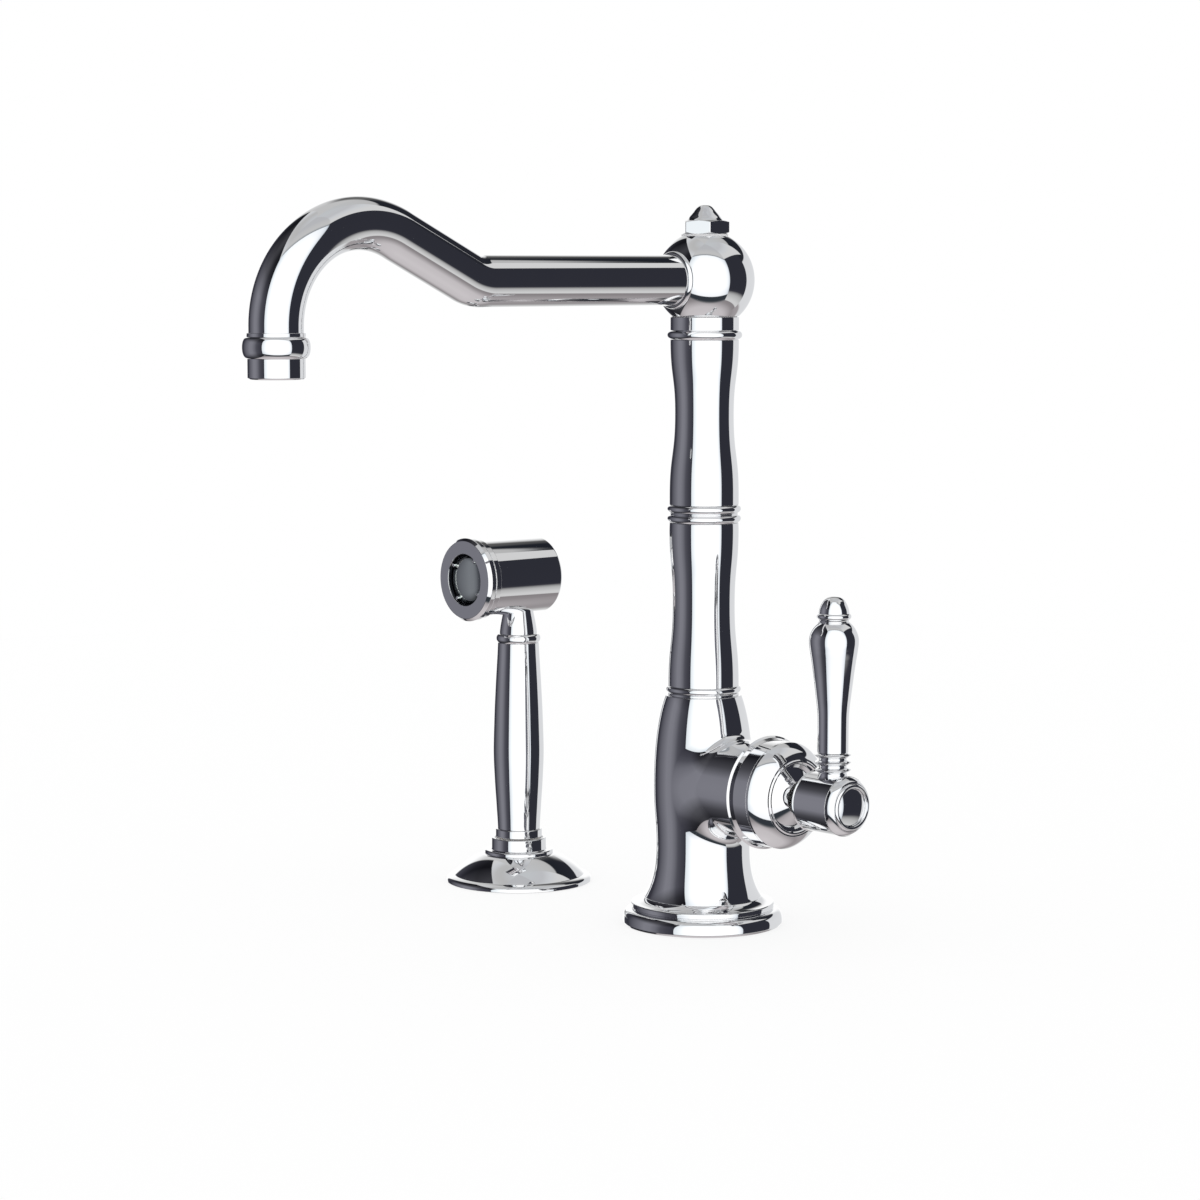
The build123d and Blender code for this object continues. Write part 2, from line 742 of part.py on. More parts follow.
with BuildPart() as cartridge_shell:
    with BuildSketch(valve_plane):
        with BuildLine():
            Polyline(
                (base_x, cavity_r),
                (base_x, cartridge_r),
                (shell_x, cartridge_r),
                (shell_x, spindle_r + running + neck_wall),
                (neck_x, spindle_r + running + neck_wall),
                (neck_x, spindle_r + running),
                (cavity_x, spindle_r + running),
                (cavity_x, cavity_r),
                close=True,
            )
        make_face()
    revolve(axis=valve_axis)

with BuildPart() as ceramic_disc_fixed:
    with BuildSketch(Plane.YZ.offset(base_x)):
        with Locations((0, valve_z)):
            Circle(cavity_r - play)
        with Locations((-cartridge_port_y, cartridge_port_z), (cartridge_port_y, cartridge_port_z)):
            Circle(way_r - 0.4, mode=Mode.SUBTRACT)
        with Locations((0, outlet_port_z - 1)):
            Circle(mixed_way_r - 1, mode=Mode.SUBTRACT)
    extrude(amount=disc_h)

moving_x = base_x + disc_h
carrier_x = moving_x + disc_h
with BuildPart() as ceramic_disc_moving:
    with BuildSketch(Plane.YZ.offset(moving_x)):
        with Locations((0, valve_z)):
            Circle(disc_r)
    extrude(amount=disc_h)
    with BuildSketch(Plane.YZ.offset(moving_x)):
        with Locations((0, valve_z)):
            SlotOverall(2 * disc_r - 5, 5.0)
    extrude(amount=1.2, mode=Mode.SUBTRACT)

with BuildPart() as disc_carrier:
    with BuildSketch(Plane.YZ.offset(carrier_x)):
        with Locations((0, valve_z)):
            Circle(disc_r)
            Circle(arm_r + 1.5 * air, mode=Mode.SUBTRACT)
    extrude(amount=carrier_h)

# Turning spindle with the slot that lets the lever tilt.
tilt = tan(radians(tilt_max))
arm_half = arm_r / cos(radians(tilt_max)) + air
spindle_back_x = carrier_x + carrier_h + air
with BuildPart() as cartridge_spindle:
    with BuildSketch(valve_plane):
        with BuildLine():
            Polyline(
                (spindle_back_x, 0),
                (spindle_back_x, cavity_r - air),
                (cavity_x - air, cavity_r - air),
                (cavity_x - air, spindle_r),
                (spindle_x, spindle_r),
                (spindle_x, 0),
                close=True,
            )
        make_face()
    revolve(axis=valve_axis)
    with BuildSketch(valve_plane):
        with BuildLine():
            back = pivot_x - spindle_back_x + 1
            front = spindle_x - pivot_x + 1
            pivot_half = arm_half + 0.9
            Polyline(
                (spindle_back_x - 1, arm_half + back * tilt),
                (pivot_x, pivot_half),
                (spindle_x + 1, pivot_half),
                (spindle_x + 1, -pivot_half - front * tilt),
                (pivot_x, -pivot_half),
                (spindle_back_x - 1, -arm_half),
                close=True,
            )
        make_face()
    extrude(amount=slot_w / 2, both=True, mode=Mode.SUBTRACT)
    with BuildSketch(Plane.XZ):
        with Locations((pivot_x, valve_z)):
            Circle(pin_r + play)
    extrude(amount=spindle_r + 1, both=True, mode=Mode.SUBTRACT)

with BuildPart() as spindle_pin:
    with BuildSketch(Plane.XZ):
        with Locations((pivot_x, valve_z)):
            Circle(pin_r)
    extrude(amount=spindle_r - 0.7, both=True)

with BuildPart() as cartridge_nut:
    with BuildSketch(valve_plane):
        with BuildLine():
            nut_bore = spindle_r + running + neck_wall + play
            Polyline(
                (shell_x, nut_bore),
                (shell_x, cartridge_r),
                (spigot_x, cartridge_r),
                (spigot_x, spigot_r - 0.4),
                (spigot_x + 1.4, spigot_r - 0.4),
                (spigot_x + 1.4, nut_bore),
                close=True,
            )
        make_face()
    revolve(axis=valve_axis)
    with BuildSketch(Plane.YZ.offset(spigot_x)):
        with Locations((0, valve_z)):
            with PolarLocations(spigot_r - 0.4, 6):
                Circle(1.6)
    extrude(amount=1.4, mode=Mode.SUBTRACT)

# Flanged ring screwed on the boss; the domed cover plugs into its mouth.
with BuildPart() as bonnet_ring:
    with BuildSketch(valve_plane):
        with BuildLine():
            mouth_r = band_r - 1.8
            flange_x = boss_x + bonnet_flange_w
            Polyline(
                (boss_x, spigot_r + play),
                (boss_x, bonnet_flange_r - 0.4),
                (boss_x + 0.4, bonnet_flange_r),
                (flange_x - 0.5, bonnet_flange_r),
                (flange_x, bonnet_flange_r - 0.5),
                (flange_x, band_r),
            )
            band_mid = ((flange_x + band_x) / 2, band_r + 0.15)
            ThreePointArc((flange_x, band_r), band_mid, (band_x, band_r - 0.5))
            Polyline(
                (band_x, band_r - 0.5),
                (band_x, mouth_r),
                (spigot_x + 1.6, mouth_r),
                (spigot_x + 1.6, spigot_r + play),
                (boss_x, spigot_r + play),
            )
        make_face()
    revolve(axis=valve_axis)

with BuildPart() as bonnet_dome:
    with BuildSketch(valve_plane):
        with BuildLine():
            mouth = band_r - 1.8 - play
            edge = (band_x, band_r - 0.9)
            brow = (dome_x, dome_r)
            bead_in = (dome_x, dome_r - 1.9)
            groove = (dome_x - 0.6, cone_r)
            lip = (cone_x, cone_hole_r)
            ThreePointArc(edge, (band_x + 4.4, band_r - 2.5), brow)
            ThreePointArc(brow, (dome_x + 0.6, dome_r - 0.9), bead_in)
            Polyline(
                bead_in,
                groove,
                lip,
                (cone_x - dome_wall, cone_hole_r),
                (dome_x - 0.6 - dome_wall, cone_r + 0.4),
                (band_x + 2.0, band_r - 4.4),
                (band_x - 2.6, band_r - 4.0),
                (band_x - 2.6, mouth),
                (band_x, mouth),
                edge,
            )
        make_face()
    revolve(axis=valve_axis)

# ================================================================ lever
# Steel arm: ball end in the disc carrier, eye on the pin, square-shouldered shank in the hub.
with BuildPart() as lever_stem:
    with BuildSketch(valve_plane):
        with BuildLine():
            Polyline(
                (pivot_x - arm_back, 0),
                (pivot_x - arm_back, arm_r * 0.72),
                (hub_tail_x - 0.4, arm_r * 0.72),
                (hub_tail_x - 0.4, arm_r),
                (hub_tail_x, arm_r),
                (hub_tail_x, socket_r),
                (socket_x, socket_r),
                (socket_x, 0),
                close=True,
            )
        make_face()
    revolve(axis=valve_axis)
    with Locations((pivot_x - arm_back, 0, valve_z)):
        Sphere(arm_r)
    with Locations((pivot_x, 0, valve_z)):
        Sphere(slot_w / 2 - air)
    with BuildSketch(Plane.XZ):
        with Locations((pivot_x, valve_z)):
            Circle(pin_r + running)
    extrude(amount=slot_w, both=True, mode=Mode.SUBTRACT)

with BuildPart() as lever_hub:
    with BuildSketch(valve_plane):
        with BuildLine():
            Polyline(
                (hub_tail_x, 0),
                (hub_tail_x, hub_tail_r - 0.5),
                (hub_tail_x + 0.5, hub_tail_r),
                (hub_back_x, hub_tail_r),
                (hub_back_x, hub_r - 0.5),
                (hub_back_x + 0.5, hub_r),
                (hub_front_x - 0.3, hub_r),
                (hub_front_x, hub_r - 0.3),
                (hub_front_x, 0),
                close=True,
            )
        make_face()
    revolve(axis=valve_axis)
    with BuildSketch(Plane.XY.offset(valve_z)):
        with Locations((lever_x, 0)):
            Circle(lever_boss_r)
    extrude(amount=lever_boss_z - valve_z)
    foot_edges = lever_hub.edges().filter_by_position(Axis.Z, valve_z + hub_r / 2, lever_boss_z - 0.2)
    foot_edges = foot_edges.filter_by(GeomType.CIRCLE, reverse=True).filter_by(GeomType.LINE, reverse=True)
    fillet(foot_edges, lever_boss_fillet)
    with BuildSketch(Plane.YZ.offset(hub_tail_x)):
        with Locations((0, valve_z)):
            Circle(socket_r + play)
    extrude(amount=socket_x - hub_tail_x, mode=Mode.SUBTRACT)
    with BuildSketch(Plane.YZ.offset(hub_front_x - 4)):
        with Locations((0, valve_z)):
            Circle(button_dome_r + play)
    extrude(amount=4, mode=Mode.SUBTRACT)
    with BuildSketch(Plane.XY.offset(lever_boss_z)):
        with Locations((lever_x, 0)):
            Circle(lever_stud_r + play)
    extrude(amount=-8, mode=Mode.SUBTRACT)
    with BuildSketch(Plane.XY.offset(valve_z - hub_r)):
        with Locations((hub_back_x + 4, 0)):
            Circle(2.5)
    extrude(amount=hub_r - socket_r, mode=Mode.SUBTRACT)

with BuildPart() as hub_screw:
    with BuildSketch(Plane.XY.offset(valve_z - socket_r)):
        with Locations((hub_back_x + 4, 0)):
            Circle(2.5 - play)
    extrude(amount=-6.5)
    with BuildSketch(Plane.XY.offset(valve_z - socket_r - 6.5)):
        with Locations((hub_back_x + 4, 0)):
            RegularPolygon(radius=1.4, side_count=6)
    extrude(amount=2.0, mode=Mode.SUBTRACT)

button_seat_x = hub_front_x + 1.0
with BuildPart() as hub_cap:
    with BuildSketch(valve_plane):
        with BuildLine():
            shoulder = (cap_x - 0.7, cap_ring_r + 0.8)
            Line((hub_front_x, button_dome_r), (hub_front_x, hub_r - 0.3))
            ThreePointArc((hub_front_x, hub_r - 0.3), (hub_front_x + 2.6, hub_r - 0.9), shoulder)
            Polyline(
                shoulder,
                (cap_x - 0.7, cap_ring_r),
                (cap_x - 0.2, cap_ring_r),
                (cap_x, cap_ring_r - 0.2),
                (cap_x, button_dome_r + 0.3),
                (cap_x - 0.4, button_dome_r),
                (button_seat_x, button_dome_r),
                (button_seat_x, button_dome_r - 2),
                (hub_front_x - 4, button_dome_r - 2),
                (hub_front_x - 4, button_dome_r),
                (hub_front_x, button_dome_r),
            )
        make_face()
    revolve(axis=valve_axis)

with BuildPart() as hub_button:
    with BuildSketch(valve_plane):
        with BuildLine():
            apex_x = cap_x - 0.3 + button_dome_h
            edge = (cap_x - 0.3, button_dome_r - play)
            Bezier(edge, (apex_x, (button_dome_r - play) / 2), (apex_x, 0))
            Polyline(
                (apex_x, 0),
                (button_seat_x, 0),
                (button_seat_x, button_dome_r - play),
                edge,
            )
        make_face()
    revolve(axis=valve_axis)

neck_top_z = lever_boss_z + rib_count * rib_h + (rib_count - 1) * rib_gap + 1.0
with BuildPart() as lever_neck:
    with BuildSketch(lever_plane):
        with BuildLine():
            for rib in range(rib_count):
                low = lever_boss_z + rib * (rib_h + rib_gap)
                bead(lever_boss_r, rib_r, low, low + rib_h)
                above = low + rib_h + rib_gap
                Line((lever_boss_r, low + rib_h), (lever_boss_r, min(above, neck_top_z)))
            Polyline(
                (lever_boss_r, neck_top_z),
                (lever_stud_r, neck_top_z),
                (lever_stud_r, neck_top_z + 6),
                (0, neck_top_z + 6),
                (0, lever_boss_z - 7.5),
                (lever_stud_r, lever_boss_z - 7.5),
                (lever_stud_r, lever_boss_z),
                (lever_boss_r, lever_boss_z),
            )
        make_face()
    revolve(axis=lever_axis)

with BuildPart() as lever_grip:
    with BuildSketch(lever_plane):
        with BuildLine():
            foot = (grip_foot_r, neck_top_z)
            flare = (grip_foot_r + 0.35, neck_top_z + flare_h)
            swell = (grip_max_r - 0.35, grip_max_z - 3.5)
            top = (finial_bead_r - 0.5, grip_top_z)
            lift = (grip_foot_r - 0.15, neck_top_z + flare_lift)
            Bezier(foot, (grip_foot_r, neck_top_z + flare_pull), lift, flare)
            Line(flare, swell)
            Bezier(swell, (grip_max_r + 0.3, grip_max_z), (grip_max_r - 0.2, grip_top_z - 3.6), top)
            Polyline(
                top,
                (lever_stud_r + play, grip_top_z),
                (lever_stud_r + play, grip_top_z - 7),
                (0, grip_top_z - 7),
                (0, neck_top_z + 6.4),
                (lever_stud_r + play, neck_top_z + 6.4),
                (lever_stud_r + play, neck_top_z),
                foot,
            )
        make_face()
    revolve(axis=lever_axis)

with BuildPart() as lever_finial:
    with BuildSketch(lever_plane):
        with BuildLine():
            bead_low = grip_top_z + 1.4
            bead_high = bead_low + 2.6
            tip = (0, lever_top_z)
            crown = (finial_bead_r - 1.0, bead_high + 1.3)
            Line((lever_stud_r, grip_top_z), (finial_bead_r - 0.8, grip_top_z))
            Line((finial_bead_r - 0.8, grip_top_z), (finial_bead_r - 0.8, bead_low))
            bead(finial_bead_r - 0.8, finial_bead_r, bead_low, bead_high)
            Line((finial_bead_r - 0.8, bead_high), crown)
            Bezier(crown, (finial_bead_r - 1.4, lever_top_z - 2.6), (3.6, lever_top_z - 0.2), tip)
            stud_low_z = grip_top_z - 6.5
            Polyline(tip, (0, stud_low_z), (lever_stud_r, stud_low_z), (lever_stud_r, grip_top_z))
        make_face()
    revolve(axis=lever_axis)

# ================================================================ side spray stand
with BuildPart() as spray_gasket:
    with BuildSketch(Plane.XY):
        with Locations((spray_x, 0)):
            Circle(rose_r - 2.8)
            Circle(rose_r - 9, mode=Mode.SUBTRACT)
    extrude(amount=gasket_h)

with BuildPart() as spray_escutcheon:
    with BuildSketch(spray_plane):
        with BuildLine():
            foot = (rose_r, deck_gap)
            rim = (rose_r, deck_gap + 0.7)
            crease = (rose_lip_r, rose_lip_z)
            top = (rose_top_r, rose_h - 0.4)
            inner_top = (shank_r + play, rose_h - wall)
            Line(foot, rim)
            Bezier(rim, (rose_r - 0.1, rose_lip_z - 1.0), (rose_lip_r + 1.6, rose_lip_z - 0.4), crease)
            middle_r = (rose_lip_r + rose_top_r) / 2
            middle_z = (rose_lip_z + rose_h - 0.4) / 2
            ThreePointArc(crease, (middle_r + 0.55, middle_z + 0.75), top)
            Bezier(top, (holder_flange_r + 0.3, rose_h - 0.2), (holder_flange_r + 0.2, rose_h))
            Polyline(
                (holder_flange_r + 0.2, rose_h),
                (shank_r + play, rose_h),
                inner_top,
                (rose_top_r - 1, rose_h - wall),
            )
            skirt = (rose_r - 3.4, gasket_h)
            recess_r = rose_r - 2.8 + play
            ThreePointArc((rose_top_r - 1, rose_h - wall), (rose_r - 8.5, rose_h * 0.45 - 0.6), skirt)
            Polyline(skirt, (recess_r, gasket_h), (recess_r, deck_gap), foot)
        make_face()
    revolve(axis=spray_axis)

with BuildPart() as spray_holder:
    with BuildSketch(spray_plane):
        with BuildLine():
            liner = tail_top_r + air + bush_wall + play
            flange_z = rose_h + holder_flange_h
            Polyline(
                (liner, 0.6),
                (shank_r, 0.6),
                (shank_r, rose_h),
                (holder_flange_r, rose_h),
                (holder_flange_r, flange_z - 0.5),
                (holder_flange_r - 0.5, flange_z),
                (holder_r + 0.4, flange_z),
                (holder_r, flange_z + 0.7),
                (holder_r, holder_top_z - 0.3),
                (holder_r - 0.3, holder_top_z),
                (liner, holder_top_z),
                (liner, 0.6),
            )
        make_face()
    revolve(axis=spray_axis)

# Plastic liner with the taper that the handset's tail drops into.
tail_top_z = holder_top_z
with BuildPart() as spray_holder_bush:
    with BuildSketch(spray_plane):
        with BuildLine():
            liner = tail_top_r + air + bush_wall
            Polyline(
                (tail_low_r + air, tail_low_z - 1),
                (liner, tail_low_z - 1),
                (liner, holder_top_z),
                (tail_top_r + air, holder_top_z),
                (tail_low_r + air, tail_low_z),
                close=True,
            )
        make_face()
    revolve(axis=spray_axis)

# ================================================================ handset
with BuildPart() as tail_cone:
    with BuildSketch(spray_plane):
        with BuildLine():
            Polyline(
                (hose_thread_r, tail_low_z),
                (tail_low_r, tail_low_z),
                (tail_top_r, tail_top_z),
                (tail_spigot_r, tail_top_z),
                (tail_spigot_r, tail_top_z + tail_spigot_h),
                (tail_spigot_r - 2, tail_top_z + tail_spigot_h),
                (tail_spigot_r - 2, tail_low_z + hose_thread_h),
                (hose_thread_r, tail_low_z + hose_thread_h),
                close=True,
            )
        make_face()
    revolve(axis=spray_axis)

collar_low_z = tail_top_z + air
collar_high_z = collar_low_z + spray_collar_h
with BuildPart() as handset_collar:
    with BuildSketch(spray_plane):
        with BuildLine():
            Polyline(
                (tail_spigot_r + running, collar_low_z),
                (spray_collar_r - 0.3, collar_low_z),
                (spray_collar_r, collar_low_z + 0.3),
                (spray_collar_r, collar_high_z - 0.3),
                (spray_collar_r - 0.3, collar_high_z),
                (tail_spigot_r + running, collar_high_z),
                close=True,
            )
        make_face()
    revolve(axis=spray_axis)

with BuildPart() as handset_grip:
    with BuildSketch(spray_plane):
        with BuildLine():
            foot = (spray_grip_foot_r, collar_high_z)
            swell = (spray_grip_max_r, spray_grip_max_z)
            top = (spray_grip_top_r, spray_ring_z)
            swivel_bore = tail_spigot_r + running
            way = tail_spigot_r - 1.2
            s_curve(foot, swell, 0.42)
            s_curve(swell, top, 0.42)
            Polyline(
                top,
                (neck_spigot_r - 0.9 + play, spray_ring_z),
                (neck_spigot_r - 0.9 + play, spray_ring_z - 8),
                (way, spray_ring_z - 8),
                (way, tail_top_z + tail_spigot_h + air),
                (swivel_bore, tail_top_z + tail_spigot_h + air),
                (swivel_bore, collar_high_z),
                foot,
            )
        make_face()
    revolve(axis=spray_axis)

ring_top = spray_ring_z + spray_ring_h
with BuildPart() as handset_ring:
    with BuildSketch(spray_plane):
        with BuildLine():
            inner = neck_spigot_r - 0.9 + play
            Line((inner, spray_ring_z), (spray_ring_r - 0.9, spray_ring_z))
            bead(spray_ring_r - 0.9, spray_ring_r, spray_ring_z, ring_top)
            Line((spray_ring_r - 0.9, ring_top), (inner, ring_top))
            Line((inner, ring_top), (inner, spray_ring_z))
        make_face()
    revolve(axis=spray_axis)

# Tapered neck: saddle-cut under the head, with a spigot through the head's wall.
saddle_z = head_z - head_r
with BuildPart() as handset_neck:
    with BuildSketch(spray_plane):
        with BuildLine():
            foot = (neck_foot_r, ring_top)
            top = (neck_top_r, saddle_z + 2.5)
            spigot = neck_spigot_r - 0.9
            Bezier(foot, (neck_foot_r, ring_top + 4), (neck_top_r + 0.2, saddle_z - 2), top)
            Polyline(
                top,
                (0, saddle_z + 2.5),
                (0, spray_ring_z - 7.6),
                (spigot, spray_ring_z - 7.6),
                (spigot, ring_top),
                foot,
            )
        make_face()
    revolve(axis=spray_axis)
    with BuildSketch(Plane.XZ.offset(-2 * head_r)):
        with Locations((spray_x, head_z)):
            Circle(head_r)
    extrude(amount=4 * head_r, mode=Mode.SUBTRACT)
    with BuildSketch(Plane.XY.offset(saddle_z - 4)):
        with Locations((spray_x, 0)):
            Circle(spigot)
    extrude(amount=4 + head_wall + 0.8)
    with BuildSketch(Plane.XY.offset(spray_ring_z - 8)):
        with Locations((spray_x, 0)):
            Circle(spigot - 1.8)
    extrude(amount=3 * head_r, mode=Mode.SUBTRACT)

# Drum-shaped head: open at the front, with a round hole in the back for the push button.
inner_r = head_r - head_wall
with BuildPart() as handset_head:
    with BuildSketch(head_plane):
        with BuildLine():
            back = -head_back_y
            back_wall = -(head_back_y - back_wall_h)
            Line((back, thumb_r + air), (back, head_r - 1.4))
            ThreePointArc((back, head_r - 1.4), (back + 0.42, head_r - 0.42), (back + 1.4, head_r))
            Polyline(
                (back + 1.4, head_r),
                (head_front_y, head_r),
                (head_front_y, inner_r),
                (back_wall, inner_r),
                (back_wall, thumb_r + air),
                (back, thumb_r + air),
            )
        make_face()
    revolve(axis=head_axis)
    with BuildSketch(Plane.XY.offset(saddle_z - 1)):
        with Locations((spray_x, 0)):
            Circle(neck_spigot_r - 0.9 + play)
    extrude(amount=head_r, mode=Mode.SUBTRACT)

with BuildPart() as face_ring:
    with BuildSketch(head_plane):
        with BuildLine():
            Polyline(
                (face_y, face_bore_r),
                (face_y, face_flat_r),
                (face_y - 1.5, face_rim_r),
                (face_y - 3.9, face_rim_r),
                (face_y - 4.4, face_groove_r),
                (face_y - 4.8, face_groove_r),
                (face_y - 4.8, face_step_r),
                (head_front_y, face_step_r),
                (head_front_y, inner_r - play),
                (head_front_y - 4, inner_r - play),
                (head_front_y - 4, face_bore_r),
                close=True,
            )
        make_face()
    revolve(axis=head_axis)

# Domed spray plate held in the bore by four short ribs; the water leaves round its edge.
with BuildPart() as spray_insert:
    with BuildSketch(head_plane):
        with BuildLine():
            dome_foot = face_y - 0.4 - nozzle_dome_h
            apex_y = face_y - 0.4
            plate = head_front_y - 1.5
            Line((plate, 0), (plate, face_bore_r - play))
            Line((plate, face_bore_r - play), (plate + 1.6, face_bore_r - play))
            Line((plate + 1.6, face_bore_r - play), (plate + 1.6, nozzle_dome_r))
            Line((plate + 1.6, nozzle_dome_r), (dome_foot, nozzle_dome_r))
            Bezier((dome_foot, nozzle_dome_r), (apex_y, nozzle_dome_r / 2), (apex_y, 0))
            Line((apex_y, 0), (plate, 0))
        make_face()
    revolve(axis=head_axis)
    with BuildSketch(Plane.XZ.offset(plate + 1)):
        with Locations((spray_x, head_z)):
            with PolarLocations((nozzle_dome_r + face_bore_r) / 2 - 0.4, 4, start_angle=35):
                Rectangle(face_bore_r - nozzle_dome_r + 0.6, 1.3)
    extrude(amount=dome_foot - plate)

with BuildPart() as spray_valve_seat:
    with BuildSketch(Plane.XZ.offset(valve_seat_y - valve_seat_h)):
        with Locations((spray_x, head_z)):
            Circle(inner_r - play)
            Circle(rod_r + 1.6, mode=Mode.SUBTRACT)
    extrude(amount=valve_seat_h)

# Plastic sleeve that guides the button and carries the spring's fixed end.
guide_back_y = head_back_y - back_wall_h
guide_front_y = guide_back_y - guide_h
with BuildPart() as button_guide:
    with BuildSketch(head_plane):
        with BuildLine():
            Polyline(
                (-guide_back_y, thumb_r + running),
                (-guide_back_y, inner_r - play),
                (-guide_back_y + 2, inner_r - play),
                (-guide_back_y + 2, guide_r),
                (-guide_front_y + 2, guide_r),
                (-guide_front_y + 2, rod_r + air),
                (-guide_front_y, rod_r + air),
                (-guide_front_y, thumb_r + running),
                close=True,
            )
        make_face()
    revolve(axis=head_axis)

# ================================================================ push button
cup_y = head_back_y - 1.0
with BuildPart() as spray_button:
    with BuildSketch(head_plane):
        with BuildLine():
            tip = -(head_back_y + thumb_out)
            Line((tip, 0), (tip + 0.5, thumb_r - 2.2))
            ThreePointArc((tip + 0.5, thumb_r - 2.2), (tip + 0.9, thumb_r - 0.7), (tip + 2.2, thumb_r))
            Polyline(
                (tip + 2.2, thumb_r),
                (-guide_front_y - thumb_travel - air, thumb_r),
                (-guide_front_y - thumb_travel - air, thumb_r - 1.6),
                (-cup_y, thumb_r - 1.6),
                (-cup_y, 0),
                (tip, 0),
            )
        make_face()
    revolve(axis=head_axis)

with BuildPart() as spray_plunger:
    with BuildSketch(head_plane):
        with BuildLine():
            seat_face = valve_seat_y + play
            Polyline(
                (-cup_y, 0),
                (-cup_y, rod_r),
                (seat_face, rod_r),
                (seat_face, rod_r + 3.6),
                (seat_face + 2.4, rod_r + 3.6),
                (seat_face + 3.0, rod_r + 2.8),
                (seat_face + 3.0, 0),
                close=True,
            )
        make_face()
    revolve(axis=head_axis)

spring_length = cup_y - guide_front_y - 2 * spring_wire_r
with BuildPart() as spray_spring:
    with BuildLine():
        coil = Helix(
            pitch=spring_length / spring_turns,
            height=spring_length,
            radius=spring_r,
            center=(spray_x, guide_front_y + spring_wire_r, head_z),
            direction=(0, 1, 0),
        )
    with BuildSketch(Plane(origin=coil @ 0, z_dir=coil % 0)):
        RegularPolygon(radius=spring_wire_r, side_count=6)
    sweep(is_frenet=True)

# ================================================================ export
pieces = {
    "base_gasket": base_gasket,
    "base_flange": base_flange,
    "inlet_block": inlet_block,
    "valve_body": valve_body,
    "diverter_valve": diverter_valve,
    "body_ring": body_ring,
    "lower_column": lower_column,
    "mid_ring": mid_ring,
    "upper_column": upper_column,
    "top_collar": top_collar,
    "riser_tube": riser_tube,
    "swivel_stem": swivel_stem,
    "stem_orings": stem_orings,
    "swivel_washer_lower": swivel_washer_lower,
    "swivel_washer_upper": swivel_washer_upper,
    "finial_nut": finial_nut,
    "ball_body": ball_body,
    "spout_collar": spout_collar,
    "spout_tube": spout_tube,
    "spout_nozzle": spout_nozzle,
    "aerator_housing": aerator_housing,
    "aerator_insert": aerator_insert,
    "aerator_washer": aerator_washer,
    "cartridge_seals": cartridge_seals,
    "cartridge_base": cartridge_base,
    "cartridge_shell": cartridge_shell,
    "ceramic_disc_fixed": ceramic_disc_fixed,
    "ceramic_disc_moving": ceramic_disc_moving,
    "disc_carrier": disc_carrier,
    "cartridge_spindle": cartridge_spindle,
    "spindle_pin": spindle_pin,
    "cartridge_nut": cartridge_nut,
    "bonnet_ring": bonnet_ring,
    "bonnet_dome": bonnet_dome,
    "lever_stem": lever_stem,
    "lever_hub": lever_hub,
    "hub_screw": hub_screw,
    "hub_cap": hub_cap,
    "hub_button": hub_button,
    "lever_neck": lever_neck,
    "lever_grip": lever_grip,
    "lever_finial": lever_finial,
    "spray_gasket": spray_gasket,
    "spray_escutcheon": spray_escutcheon,
    "spray_holder": spray_holder,
    "spray_holder_bush": spray_holder_bush,
    "tail_cone": tail_cone,
    "handset_collar": handset_collar,
    "handset_grip": handset_grip,
    "handset_ring": handset_ring,
    "handset_neck": handset_neck,
    "handset_head": handset_head,
    "face_ring": face_ring,
    "spray_insert": spray_insert,
    "spray_valve_seat": spray_valve_seat,
    "button_guide": button_guide,
    "spray_button": spray_button,
    "spray_plunger": spray_plunger,
    "spray_spring": spray_spring,
}
for name, piece in pieces.items():
    piece.part.label = name
    export_step(piece.part, f"parts/{name}.step")
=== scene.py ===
"""Dresses a two-hole kitchen faucet with a side spray: polished turned pieces, plastics, stage and camera."""

import json
from functools import partial
from math import comb, cos, radians, sin, sqrt

import bpy
import numpy as np
from bpy.props import FloatProperty, FloatVectorProperty, IntProperty, PointerProperty
from mathutils import Matrix, Vector


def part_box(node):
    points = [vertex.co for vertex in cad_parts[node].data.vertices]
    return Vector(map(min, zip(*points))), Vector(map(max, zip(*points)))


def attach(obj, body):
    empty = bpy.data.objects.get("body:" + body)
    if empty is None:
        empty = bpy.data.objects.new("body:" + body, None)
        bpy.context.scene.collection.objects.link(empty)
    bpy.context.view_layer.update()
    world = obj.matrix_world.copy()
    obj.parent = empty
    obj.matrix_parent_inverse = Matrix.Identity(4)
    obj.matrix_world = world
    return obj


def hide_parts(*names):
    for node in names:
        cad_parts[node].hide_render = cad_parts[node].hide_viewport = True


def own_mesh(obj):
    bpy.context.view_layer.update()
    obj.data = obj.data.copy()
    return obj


bl_info = {
    "name": "Side Spray Kitchen Faucet",
    "version": (1, 0, 0),
    "blender": (4, 5, 0),
    "location": "View3D > Sidebar > Faucet",
    "description": "Builds the polished pieces of a column faucet with a lever valve and a side spray",
    "category": "Add Mesh",
}

MM = 0.001  # a millimetre, in metres
CORNER = 0.99  # cosine of the turn from which two runs meet at a corner
SHARE = 0.45  # largest part of a run that an eased corner takes up
TOUCH = 1e-5  # distance in millimetres within which two rows are one

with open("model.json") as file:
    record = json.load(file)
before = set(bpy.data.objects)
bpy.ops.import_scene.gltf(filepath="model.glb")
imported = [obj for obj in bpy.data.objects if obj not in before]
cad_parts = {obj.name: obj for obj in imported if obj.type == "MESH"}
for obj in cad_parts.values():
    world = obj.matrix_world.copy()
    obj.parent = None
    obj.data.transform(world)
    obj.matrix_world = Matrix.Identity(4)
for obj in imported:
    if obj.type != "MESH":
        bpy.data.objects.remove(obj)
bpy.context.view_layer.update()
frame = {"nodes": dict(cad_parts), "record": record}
nodes = frame["nodes"]


def span(node, axis=2):
    """Lowest and highest coordinate of a CAD node along an axis, in millimetres."""
    low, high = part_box(node)
    return low[axis] * 1000.0, high[axis] * 1000.0


